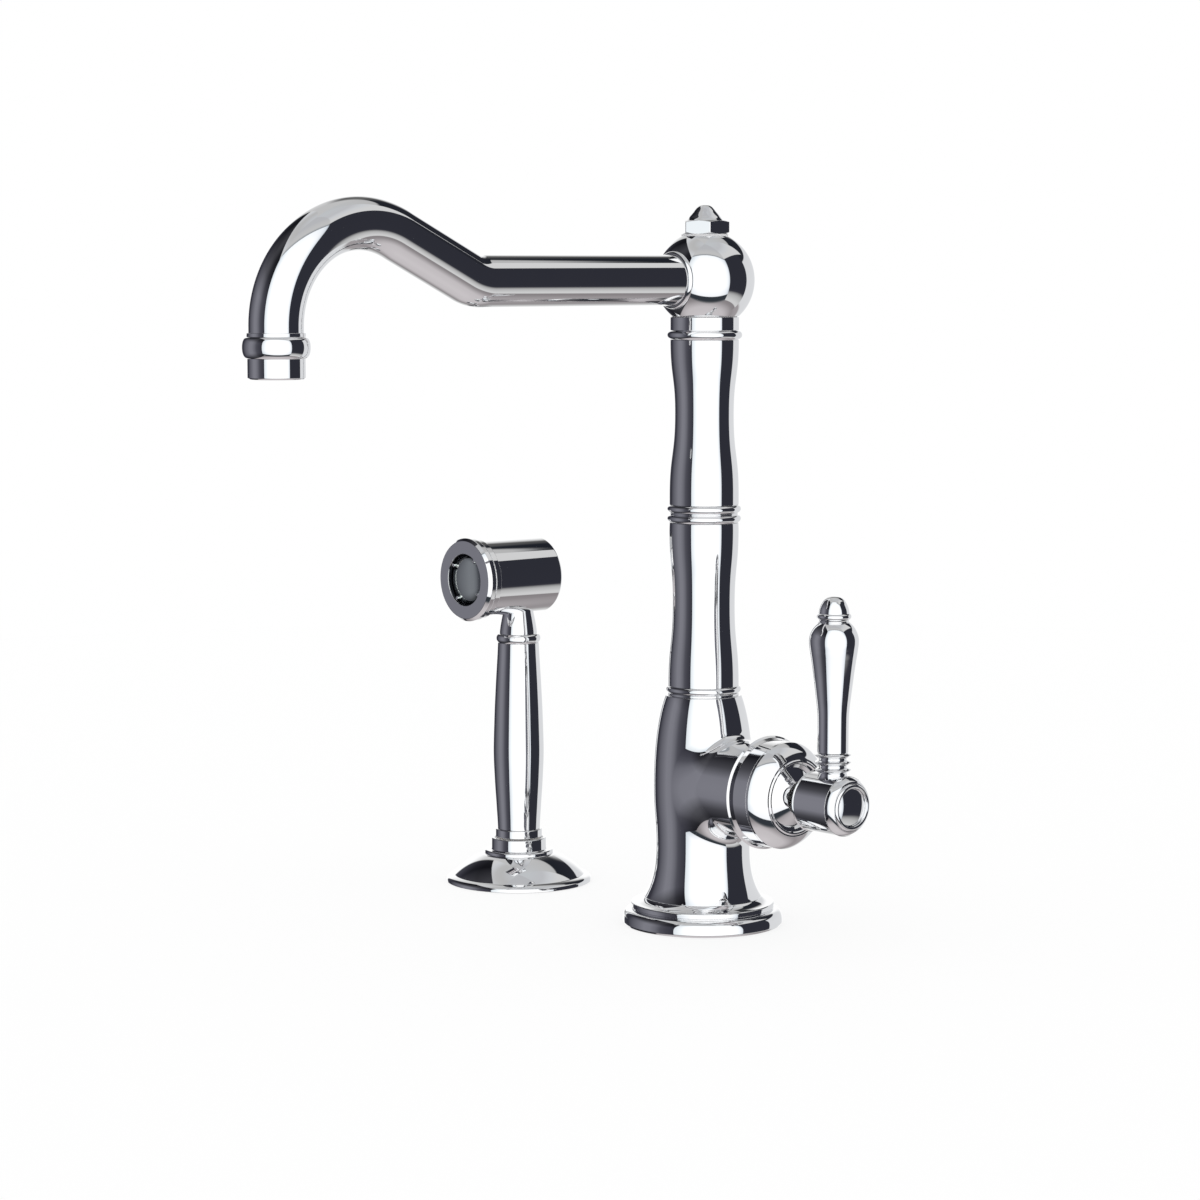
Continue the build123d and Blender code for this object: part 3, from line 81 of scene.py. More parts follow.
def low_of(node, axis=2):
    """Lowest coordinate of a CAD node along an axis, in millimetres."""
    return span(node, axis)[0]


def high_of(node, axis=2):
    """Highest coordinate of a CAD node along an axis, in millimetres."""
    return span(node, axis)[1]


def half_of(node, axis=0):
    """Half the width of a CAD node along an axis, in millimetres."""
    low, high = span(node, axis)
    return (high - low) / 2


def middle_of(node, axis=0):
    """Middle of a CAD node along an axis, in millimetres."""
    low, high = span(node, axis)
    return (high + low) / 2


def mm(value):
    """Millimetres from a setting in metres."""
    return value * 1000.0


def finishes():
    """Settings that all pieces share."""
    return bpy.context.scene.faucet_finishes


# ---------------------------------------------------------------- runs and steps of a profile
# A run is an array of rows (radius, height, tangent radius, tangent height).
def with_tangents(points, slopes):
    """Rows of points beside their slopes scaled to length one."""
    return np.hstack([points, slopes / np.linalg.norm(slopes, axis=1, keepdims=True)])


def line(start, end):
    """Straight run."""
    points = np.array([start, end], float)
    return with_tangents(points, np.repeat(points[1:] - points[:1], 2, 0))


def bezier(*controls, steps=20):
    """Bezier run: the controls weighted by the Bernstein polynomials of t."""
    c, n, t = np.array(controls, float), len(controls) - 1, np.linspace(0, 1, steps + 1)[:, None]
    points = sum(comb(n, k) * t**k * (1 - t) ** (n - k) * c[k] for k in range(n + 1))
    slopes = sum(comb(n - 1, k) * t**k * (1 - t) ** (n - 1 - k) * (c[k + 1] - c[k]) for k in range(n))
    return with_tangents(points, slopes)


def turned_s(start, end, steps=28):
    """Bezier run that leaves start and reaches end parallel to the turning axis."""
    half = (end[1] - start[1]) / 2
    return bezier(start, (start[0], start[1] + half), (end[0], end[1] - half), end, steps=steps)


def circular(start, middle, end, steps=16):
    """Circular run: centre equidistant from the three points, angle going evenly from start to end."""
    a, b, c = (complex(*p) for p in (start, middle, end))
    w = (c - a) / (b - a)
    if abs(w.imag) < 1e-9:
        return line(start, end)
    centre = a + (b - a) * (w - abs(w) ** 2) / (2j * w.imag)
    turn = np.angle((b - centre) / (a - centre)) + np.angle((c - centre) / (b - centre))
    spoke = (a - centre) * np.exp(1j * turn * np.linspace(0, 1, steps + 1))
    points, slopes = centre + spoke, spoke * 1j * np.sign(turn)
    return with_tangents(*(np.stack([p.real, p.imag], 1) for p in (points, slopes)))


def hermite(*knots):
    """Hermite run through knots: each inner slope joins its neighbours, each end slope its own chord."""
    k = np.array(knots, float)
    gap = np.linalg.norm(np.diff(k, axis=0), axis=1)
    chord = np.diff(k, axis=0) / gap[:, None]
    weight = (gap[1:] / (gap[1:] + gap[:-1]))[:, None]
    inner = chord[:-1] * weight + chord[1:] * (1 - weight)
    slope = np.vstack([chord[:1], inner, chord[-1:]])
    t = np.linspace(0, 1, 5, endpoint=False)[None, :, None]
    p0, p1, g = k[:-1, None], k[1:, None], gap[:, None, None]
    m0, m1 = slope[:-1, None] * g, slope[1:, None] * g
    points = (2 * t**3 - 3 * t**2 + 1) * p0 + (t**3 - 2 * t**2 + t) * m0
    points = points + (3 * t**2 - 2 * t**3) * p1 + (t**3 - t**2) * m1
    slopes = (6 * t**2 - 6 * t) * (p0 - p1) + (3 * t**2 - 4 * t + 1) * m0 + (3 * t**2 - 2 * t) * m1
    points = np.vstack([points.reshape(-1, 2), k[-1:]])
    return with_tangents(points, np.vstack([slopes.reshape(-1, 2), slope[-1:]]))


# A step of a profile is a point to go straight to, or a curve: its end, and its run as a function of its start.
def curve(run):
    """Maker of curves with this run, from the points after the start."""
    return lambda *points, **settings: (points[-1], lambda start: run(start, *points, **settings))


bow, swell, arc, through = map(curve, (bezier, turned_s, circular, hermite))


def bead(foot, crest, low, high):
    """Half-round bead of a turned ring, from low to high."""
    return arc((crest, (low + high) / 2), (foot, high))


def split(step):
    """End of a step, and its run as a function of its start."""
    return step if callable(step[1]) else (step, lambda start: line(start, step))


def runs_of(start, *steps):
    """Runs of the steps, each from the end of the one before it."""
    runs = []
    for end, run in map(split, steps):
        runs.append(run(start))
        start = end
    return runs


def clipped(run, start, end):
    """The run between two lengths along it, with its rows in between kept."""
    along = np.concatenate([[0], np.cumsum(np.linalg.norm(np.diff(run[:, :2], axis=0), axis=1))])
    inside = along[(along > start + 1e-6) & (along < along[-1] - end - 1e-6)]
    at = np.concatenate([[start], inside, [along[-1] - end]])
    return np.stack([np.interp(at, along, run[:, k]) for k in range(4)], 1)


def profile(*steps, ease=None):
    """Joins steps into one outline. A corner is eased by a parabola that leaves one run and meets the next
    at the ease length from it. The outline closes on itself unless it starts and ends on the axis."""
    ease = mm(finishes().ease) if ease is None else ease
    last = split(steps[-1])[0]
    runs = runs_of(*steps, *([steps[0]] if last[0] > 0 and last != steps[0] else []))
    size = [np.linalg.norm(np.diff(run[:, :2], axis=0), axis=1).sum() for run in runs]
    open_ends = abs(runs[0][0, 0]) < 1e-9 and abs(runs[-1][-1, 0]) < 1e-9
    count = len(runs)
    cut = np.zeros((count, 2))
    for k in range(count - open_ends):
        after = (k + 1) % count
        if runs[k][-1, 2:] @ runs[after][0, 2:] < CORNER:
            cut[k, 1] = cut[after, 0] = min(ease, SHARE * size[k], SHARE * size[after])
    rows = []
    for k in range(count):
        kept = clipped(runs[k], *cut[k])
        joined = rows and np.allclose(rows[-1][-1, :2], kept[0, :2], atol=TOUCH)
        rows.append(kept[1:] if joined else kept)
        after = (k + 1) % count
        if cut[k, 1] > 0 and (k < count - 1 or not open_ends):
            ahead = clipped(runs[after], *cut[after])[0, :2]
            rows.append(bezier(kept[-1, :2], runs[k][-1, :2], ahead, steps=4)[1:])
    rows = np.vstack(rows)
    if not open_ends and np.allclose(rows[0, :2], rows[-1, :2], atol=TOUCH):
        rows = rows[:-1]
    rows[:, 2:] /= np.linalg.norm(rows[:, 2:], axis=1, keepdims=True)
    return rows


# ---------------------------------------------------------------- surfaces
# The frame of a turning axis is its origin, two spokes and its direction.
def upright(x, y=0.0):
    """Frame of a vertical turning axis."""
    return np.array([[x, y, 0], [1, 0, 0], [0, 1, 0], [0, 0, 1]], float)


def sideways(z):
    """Frame of the valve's turning axis, which runs along +X."""
    return np.array([[0, 0, z], [0, 1, 0], [0, 0, 1], [1, 0, 0]], float)


def forward(x, z):
    """Frame of a turning axis that runs along -Y."""
    return np.array([[x, 0, z], [1, 0, 0], [0, 0, 1], [0, -1, 0]], float)


def turned(rows, axis):
    """Surface of revolution: origin + radius (cos a e1 + sin a e2) + height e3 for every row and angle a.
    The outward normal is the tangent turned a quarter, so an outline runs out, up, in and down."""
    (origin, e1, e2, e3), sides = axis, finishes().sides
    a = np.arange(sides) * 2 * np.pi / sides
    spoke = np.cos(a)[:, None] * e1 + np.sin(a)[:, None] * e2
    r, z, dr, dz = (rows[:, k, None, None] for k in range(4))
    points = origin + r * spoke[None] + z * e3
    normals = dz * spoke[None] - dr * e3 + 0 * points
    return grid(points, normals, rows[0, 0] > 1e-6 or rows[-1, 0] > 1e-6)


def carried(rows, centres, tangents):
    """Outline carried along a level path in the plane x = 0: centre(s) + radius (cos a X + sin a T x X)."""
    sides = finishes().sides
    a = np.arange(sides) * 2 * np.pi / sides
    e1 = np.array([1.0, 0, 0])
    e2 = np.cross(tangents, e1)
    spoke = np.cos(a)[None, :, None] * e1 + np.sin(a)[None, :, None] * e2[:, None]
    r, dr, dz = (rows[:, k, None, None] for k in (0, 2, 3))
    return grid(centres[:, None] + r * spoke, dz * spoke - dr * tangents[:, None], True)


def grid(points, normals, loop):
    """Faces of a grid that closes around its second index, and along its first if it is a loop.
    A row that shrinks to a point becomes one vertex with a fan of triangles."""
    rows, sides = points.shape[:2]
    index = np.arange(rows * sides).reshape(rows, sides)
    shrunk = np.ptp(points, axis=1).max(axis=1) < 1e-7
    index[shrunk] = index[shrunk, :1]
    near = index if loop else index[:-1]
    far = np.roll(index, -1, 0) if loop else index[1:]
    quads = np.stack([near, np.roll(near, -1, 1), np.roll(far, -1, 1), far], -1).reshape(-1, 4)
    start = quads[:, 0] == quads[:, 1]
    end = quads[:, 2] == quads[:, 3]
    triangles = np.vstack([quads[start][:, [0, 2, 3]], quads[end & ~start][:, [0, 1, 2]]])
    return points.reshape(-1, 3), normals.reshape(-1, 3), quads[~start & ~end], triangles


def rolled(centres, first, last, radius, steps=18, depth=4.0):
    """Fillet: the arc about each ball centre from its foot on one surface to its foot on the other,
    closed behind by a rib of the given depth inside the metal. The normals are the slopes across the arcs
    crossed with the slopes from arc to arc; at the feet they point at the ball centres."""
    u = (first - centres) / np.linalg.norm(first - centres, axis=1, keepdims=True)
    v = (last - centres) / np.linalg.norm(last - centres, axis=1, keepdims=True)
    angle = np.arccos(np.clip((u * v).sum(1), -1, 1))[None, :, None]
    t = np.linspace(0, 1, steps + 1)[:, None, None]
    spoke = (np.sin((1 - t) * angle) * u + np.sin(t * angle) * v) / np.sin(angle)
    points = centres + np.reshape(radius, (-1, 1)) * spoke
    normals = np.cross(np.gradient(points, axis=0), np.roll(points, -1, 1) - np.roll(points, 1, 1))
    normals *= np.sign(-(normals * spoke).sum(-1, keepdims=True))
    normals[0], normals[-1] = -spoke[0], -spoke[-1]
    middle = spoke[steps // 2]
    deep = points[steps // 2][None] + depth * middle[None]
    return grid(np.vstack([points, deep]), np.vstack([normals, middle[None]]), True)


def facing_out(surface):
    """The surface with its faces ordered so that they agree with its normals."""
    points, normals, quads, triangles = surface
    a, b, c = (points[quads[:, k]] for k in range(3))
    agree = (np.cross(b - a, c - b) * normals[quads[:, 0]]).sum()
    return surface if agree > 0 else (points, normals, quads[:, ::-1], triangles[:, ::-1])


def piece(name, *surfaces, body="faucet", slot="chrome"):
    """One mesh from surfaces in millimetres, with smooth faces and its worked-out normals, in place of its node."""
    offsets = np.cumsum([0] + [len(s[0]) for s in surfaces])
    points = np.vstack([s[0] for s in surfaces]) * MM
    normals = np.vstack([s[1] for s in surfaces])
    quads, triangles = (np.vstack([s[k] + o for s, o in zip(surfaces, offsets)]) for k in (2, 3))
    used = np.zeros(len(points), bool)
    used[quads], used[triangles] = True, True
    renumber = np.cumsum(used) - 1
    loops = renumber[np.concatenate([quads.ravel(), triangles.ravel()])]
    starts = np.concatenate([np.arange(len(quads)) * 4, len(quads) * 4 + np.arange(len(triangles)) * 3])
    mesh = bpy.data.meshes.new(name)
    mesh.vertices.add(int(used.sum()))
    mesh.vertices.foreach_set("co", points[used].astype(np.float32).ravel())
    mesh.loops.add(len(loops))
    mesh.loops.foreach_set("vertex_index", loops.astype(np.int32))
    mesh.polygons.add(len(starts))
    mesh.polygons.foreach_set("loop_start", starts.astype(np.int32))
    mesh.polygons.foreach_set("use_smooth", np.ones(len(starts), bool))
    mesh.update(calc_edges=True)
    if mesh.validate():
        raise RuntimeError(f"the mesh of {name} had faults")
    size = np.linalg.norm(normals, axis=1, keepdims=True)
    normals = normals / np.where(size < 1e-9, 1, size)
    mesh.normals_split_custom_set_from_vertices(normals[used].tolist())
    mesh.materials.append(slot_finish(slot))
    obj = bpy.data.objects.new(name, mesh)
    bpy.context.scene.collection.objects.link(obj)
    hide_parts(name)
    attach(obj, body)


def lathe(name, axis, *steps, ease=None, **where):
    """Piece turned about an axis from the steps of its outline."""
    piece(name, turned(profile(*steps, ease=ease), axis), **where)


# ---------------------------------------------------------------- finishes
def put(tree, kind, inputs=None, out=0, **settings):
    """Output of a new shader node. An input given as a socket is linked, any other value is set."""
    node = tree.nodes.new("ShaderNode" + kind)
    for key, value in settings.items():
        setattr(node, key, value)
    for key, value in (inputs or {}).items():
        if isinstance(value, bpy.types.NodeSocket):
            tree.links.new(value, node.inputs[key])
        else:
            node.inputs[key].default_value = value
    return node.outputs[out] if node.outputs else None


def emptied(owner):
    """Maker of nodes in the tree of a material or a world, with nothing else in it."""
    owner.use_nodes = True
    owner.node_tree.nodes.clear()
    return partial(put, owner.node_tree)


def blended(add, factor, a, b, blend="MIX"):
    """Mixture of two colours."""
    return add("Mix", {"Factor": factor, 6: a, 7: b}, out=2, data_type="RGBA", blend_type=blend)


def finish(name, colour, metallic, roughness, spread, grain, bump=0.0, tint=0.04, rim=None):
    """Procedural finish on Object coordinates: a slow noise shades the colour by its tint, a fine noise moves the
    roughness by its spread, and the same fine noise lifts the surface by the bump height in metres. A rim
    (x, z, radius) gets painted shade, a near-black colour for the groove's shade, outside that radius from the line
    through x and z."""
    found = bpy.data.materials.get(name)
    if found:
        return found
    material = bpy.data.materials.new(name)
    add = emptied(material)
    darkest, painted_groove_shade, blur = 0.55, (0.07, 0.073, 0.085, 1), 0.0001
    place = add("TexCoord", out="Object")
    slow = add("TexNoise", {"Vector": place, "Scale": 35.0, "Detail": 3.0}, "Fac")
    fine = add("TexNoise", {"Vector": place, "Scale": grain, "Detail": 4.0}, "Fac")
    shaded = add("MapRange", {0: slow, 1: 0.3, 2: 0.7, 3: 1.0 - tint, 4: 1.0})
    shade = blended(add, shaded, (*[c * darkest for c in colour], 1.0), (*colour, 1.0))
    # Painted shade: the colour goes near-black outside the rim radius, standing in for the shade in the groove round
    # the spray dome.
    if rim:
        x, z, radius = rim
        flat = add("VectorMath", {0: place, 1: (1, 0, 1)}, operation="MULTIPLY")
        away = add("VectorMath", {0: flat, 1: (x, 0, z)}, "Value", operation="DISTANCE")
        groove_shade_mask = add("MapRange", {0: away, 1: radius - blur, 2: radius + blur})
        shade = blended(add, groove_shade_mask, shade, painted_groove_shade)
    matt = add("MapRange", {0: fine, 1: 0.3, 2: 0.7, 3: roughness - spread, 4: roughness + spread})
    inputs = {"Base Color": shade, "Roughness": matt, "Metallic": metallic}
    if bump:
        inputs["Normal"] = add("Bump", {"Height": fine, "Strength": 0.5, "Distance": bump})
    add("OutputMaterial", {"Surface": add("BsdfPrincipled", inputs)})
    return material


def slot_finish(slot):
    """Finish of a record slot. Chrome is a mirror with a breath of uneven polish."""
    look = finishes()
    # Painted shade for the spray face: beyond 11 mm from the spray axis its colour goes near-black, standing in for the
    # groove's shade.
    rim = (middle_of("spray_insert") * MM, middle_of("spray_insert", 2) * MM, 0.011)
    slots = {
        "chrome": ("polished_chrome", look.chrome_tint, 1.0, look.chrome_roughness, 0.008, 160.0, 0.0, 0.03),
        "brass": ("machined_brass", look.brass_tint, 1.0, 0.28, 0.06, 900.0, 2e-5),
        "steel": ("bright_steel", (0.62, 0.62, 0.63), 1.0, 0.22, 0.05, 1200.0, 1e-5),
        "rubber": ("black_rubber", look.rubber_tint, 0.0, 0.7, 0.08, 1500.0, 4e-5, 0.15),
        "nylon": ("white_nylon", look.nylon_tint, 0.0, 0.42, 0.06, 900.0, 2e-5, 0.08),
        "ceramic": ("fired_ceramic", (0.86, 0.85, 0.82), 0.0, 0.18, 0.05, 1100.0, 1e-5, 0.06),
        "former": ("jet_former", (0.62, 0.64, 0.65), 0.0, 0.38, 0.05, 900.0, 2e-5, 0.1),
        "spray_face": ("spray_plate", look.spray_tint, 1.0, 0.1, 0.01, 700.0, 0.0, 0.06, rim),
    }
    return finish(*slots[slot])


# ---------------------------------------------------------------- settings
def number(label, about, default, **limits):
    """A number that a user may change."""
    return FloatProperty(name=label, description=about, default=default, **limits)


def length(label, about, default):
    """A length in millimetres that a user may change, kept in metres."""
    return number(label, about, default * MM, min=0.0, unit="LENGTH", precision=5)


def tint(label, about, default):
    """A colour that a user may change."""
    limits = dict(size=3, min=0.0, max=1.0, subtype="COLOR")
    return FloatVectorProperty(name=label, description=about, default=default, **limits)


class FaucetFinishes(bpy.types.PropertyGroup):
    """Colours and polish shared by all pieces."""

    chrome_tint: tint("Chrome", "Colour that the chrome plate gives its reflections", (0.905, 0.908, 0.915))
    chrome_roughness: number("Chrome roughness", "How far the polish blurs reflections", 0.03, min=0.01, max=0.5)
    brass_tint: tint("Brass", "Colour of unplated brass", (0.78, 0.57, 0.28))
    rubber_tint: tint("Rubber", "Colour of gaskets and seals", (0.02, 0.02, 0.021))
    nylon_tint: tint("Nylon", "Colour of washers and cartridge mouldings", (0.8, 0.8, 0.81))
    spray_tint: tint("Spray plate", "Colour of the moulded spray plate", (0.8, 0.86, 0.82))
    sides: IntProperty(name="Sides", description="Faces round each turned piece", default=160, min=24, max=256)
    ease: length("Edge ease", "Distance over which a turned corner is rounded", 0.22)


class FaucetColumn(bpy.types.PropertyGroup):
    """Radii of the turned column."""

    flange_neck: length("Flange neck radius", "Radius of the base flange where the body stands on it", 26.45)
    waist: length("Body waist radius", "Narrowest radius of the body's foot", 21.2)
    belly: length("Body belly radius", "Widest radius of the body beside the valve", 22.5)
    shoulder: length("Body shoulder radius", "Radius of the body's top edge", 17.1)
    lower_waist: length("Lower column waist", "Narrowest radius of the lower column", 14.0)
    upper_waist: length("Upper column waist", "Narrowest radius of the upper column", 13.2)
    boss: length("Valve boss radius", "Radius of the side boss on the body", 20.8)
    boss_fillet: length("Boss fillet", "Radius of the fillet above the boss", 4.5)
    boss_side: length("Boss side", "Radius of the blend beside the boss", 88.0)


class FaucetSpout(bpy.types.PropertyGroup):
    """Sizes of the spout."""

    tube: length("Tube radius", "Outer radius of the spout tube", 11.15)
    wall: length("Tube wall", "Wall thickness of the spout tube", 1.2)
    elbow: length("Elbow radius", "Bend radius of the elbow at the tube's centre line", 20.0)
    crest: length("Bow radius", "Bend radius of the bow at the tube's centre line", 41.0)
    rise: number("Rise", "Slope of the rising run", radians(26), subtype="ANGLE")


class FaucetValve(bpy.types.PropertyGroup):
    """Radii of the bonnet and the lever."""

    bonnet: length("Bonnet radius", "Radius of the bonnet band", 23.5)
    brow: length("Brow radius", "Radius of the bead on the dome's brow", 17.3)
    hub: length("Hub radius", "Radius of the lever's hub", 13.0)
    rib: length("Rib radius", "Crest radius of the ribs under the grip", 7.85)
    grip: length("Grip radius", "Widest radius of the lever's grip", 10.8)


class FaucetSpray(bpy.types.PropertyGroup):
    """Radii of the side spray."""

    rose: length("Rose radius", "Outer radius of the escutcheon on the deck", 34.8)
    grip: length("Grip radius", "Widest radius of the spray's grip", 12.2)
    head: length("Head radius", "Radius of the spray's drum-shaped head", 17.9)
    rim: length("Face rim radius", "Radius of the rim round the spray face", 19.65)


class FaucetStage(bpy.types.PropertyGroup):
    """Floor, light level and camera."""

    floor_tint: tint("Floor", "Colour of the floor", (0.985, 0.985, 0.985))
    floor_radius: number("Floor radius", "Radius of the floor disc", 2.0, min=0.5, unit="LENGTH")
    level: number("Light level", "Level at which a colour renders as written", 1.0, min=0.0)
    lens: number("Lens", "Focal length on a sensor 36 mm wide", 96.1965, unit="CAMERA")


# ---------------------------------------------------------------- operators
class FAUCET_OT_column(bpy.types.Operator):
    """Turn the base flange, the rings and the column sleeves"""

    bl_idname = "faucet.column"
    bl_label = "Column"

    def execute(self, context):
        column, axis = context.scene.faucet_column, upright(0)
        bore, plug, core = 11.5, 11.45, 8.55
        foot, neck = span("base_flange")
        rim, hole, pad = half_of("base_flange"), 17.2, high_of("base_gasket")
        groove, ring, top_r = foot + 6.9, foot + 9.9, mm(column.flange_neck)
        gasket_in, gasket_out = 20.95, 30.05
        lathe(
            "base_flange", axis,
            (hole, foot), (gasket_in, foot), (gasket_in, pad), (gasket_out, pad), (gasket_out, foot),
            (rim - 0.6, foot), (rim, foot + 1),
            bow((rim, foot + 4.6), (rim - 1.2, groove - 0.2), (rim - 4.0, groove), steps=24),
            (rim - 4.7, groove + 0.1), (rim - 3.9, groove + 0.7), (rim - 3.8, ring - 0.9),
            arc((rim - 4.05, ring - 0.25), (rim - 4.9, ring), steps=8),
            bow((rim - 6.8, ring + 0.1), (rim - 8.4, ring + 0.9), (top_r, neck)), (hole, neck),
        )
        seat, top = span("body_ring")
        joint, cap, crest = high_of("valve_body"), low_of("lower_column"), half_of("body_ring")
        foot_r = crest - 0.9
        lathe(
            "body_ring", axis, (core, seat), (8.95, seat), (8.95, joint), (foot_r, joint), (foot_r, joint + 1.1),
            bead(foot_r, crest, joint + 1.1, cap), (plug, cap), (plug, top), (core, top),
        )
        low, high = span("lower_column")
        waist = (mm(column.lower_waist), (low + high) / 2)
        lathe(
            "lower_column", axis,
            (15.95, low), swell(waist), swell((15.65, high - 3)), (15.55, high), (bore, high), (bore, low),
        )
        low, high = high_of("lower_column"), low_of("upper_column")
        crest, middle = half_of("mid_ring"), (low + high) / 2
        valley = crest - 1.4
        lathe(
            "mid_ring", axis, (core, low - 3), (plug, low - 3), (plug, low), (valley, low),
            bead(valley, crest, low, middle - 0.3), (valley, middle + 0.3), bead(valley, crest, middle + 0.3, high),
            (plug, high), (plug, high + 3), (core, high + 3),
        )
        low, high = span("upper_column")
        waist = (mm(column.upper_waist), low + 0.55 * (high - low))
        lathe(
            "upper_column", axis,
            (15.6, low), (15.6, low + 4), swell(waist), swell((15.4, high)), (bore, high), (bore, low),
        )
        low, high, crest = high_of("upper_column"), high_of("top_collar"), half_of("top_collar")
        lathe(
            "top_collar", axis, (9.05, low - 3), (plug, low - 3), (plug, low), (15.4, low),
            bead(15.4, crest, low, low + 4.2), (15.4, high), (14.5, high), (14.5, high - 0.9), (9.05, high - 0.9),
        )
        return {"FINISHED"}


class FAUCET_OT_body(bpy.types.Operator):
    """Turn the vase-shaped body and roll a fillet round its valve boss"""

    bl_idname = "faucet.body"
    bl_label = "Valve body"

    def execute(self, context):
        column = context.scene.faucet_column
        low, high = span("valve_body")
        waist_r, belly_r, shoulder_r = mm(column.waist), mm(column.belly), mm(column.shoulder)
        valve_z, boss_r = middle_of("bonnet_ring", 2), mm(column.boss)
        boss_x, tip_x = low_of("bonnet_ring", 0), high_of("valve_body", 0)
        hollow, floor, ceiling = 17.05, 20, 84
        wall = (
            (26.4, low),
            bow((waist_r + 1.5, low + 5.6), (waist_r + 0.1, 25.0), (waist_r, 33.0), steps=24),
            swell((belly_r, 64.0), steps=32),
            bow((belly_r, 81.0), (shoulder_r + 3.4, high - 9), (shoulder_r, high), steps=40),
        )
        vase = profile((0, floor), (hollow, floor), (hollow, low), *wall, (9, high), (9, ceiling), (0, ceiling))
        boss = profile(
            (0, 4), (boss_r, 4), (boss_r, boss_x), (19.6, boss_x), (19.6, tip_x), (17.55, tip_x), (17.55, 18.5),
            (0, 18.5),
        )
        # The ball that rolls along the root is small above and below the boss and large at its sides:
        # its centre keeps to a superellipse round the boss axis, and one ball radius outside the vase.
        above, beside = mm(column.boss_fillet), mm(column.boss_side)
        below = above + 3.0
        r, z, dr, dz = np.vstack(runs_of(*wall)).T
        a = np.arange(2 * finishes().sides) * np.pi / finishes().sides
        power = 2 / 1.4
        y_c = (boss_r + beside) * np.sign(np.cos(a)) * np.abs(np.cos(a)) ** power
        tall = boss_r + np.where(np.sin(a) > 0, above, below)
        z_c = tall * np.sign(np.sin(a)) * np.abs(np.sin(a)) ** power
        from_axis = np.hypot(y_c, z_c)
        balls = from_axis - boss_r
        contacts = np.empty((len(a), 3))
        for k, ball in enumerate(balls):
            order = np.argsort(z - ball * dr)
            level = (z - ball * dr)[order]
            for row, run in enumerate((r + ball * dz, r, z)):
                contacts[k, row] = np.interp(valve_z + z_c[k], level, run[order])
        ring_r, foot_r, foot_z = contacts.T
        x_c = np.sqrt(ring_r**2 - y_c**2)
        centres = np.stack([x_c, y_c, valve_z + z_c], 1)
        share = boss_r / from_axis
        on_boss = np.stack([x_c, y_c * share, valve_z + z_c * share], 1)
        on_vase = np.stack([foot_r * x_c / ring_r, foot_r * y_c / ring_r, foot_z], 1)
        root = facing_out(rolled(centres, on_vase, on_boss, balls))
        piece("valve_body", turned(vase, upright(0)), turned(boss, sideways(valve_z)), root)
        return {"FINISHED"}


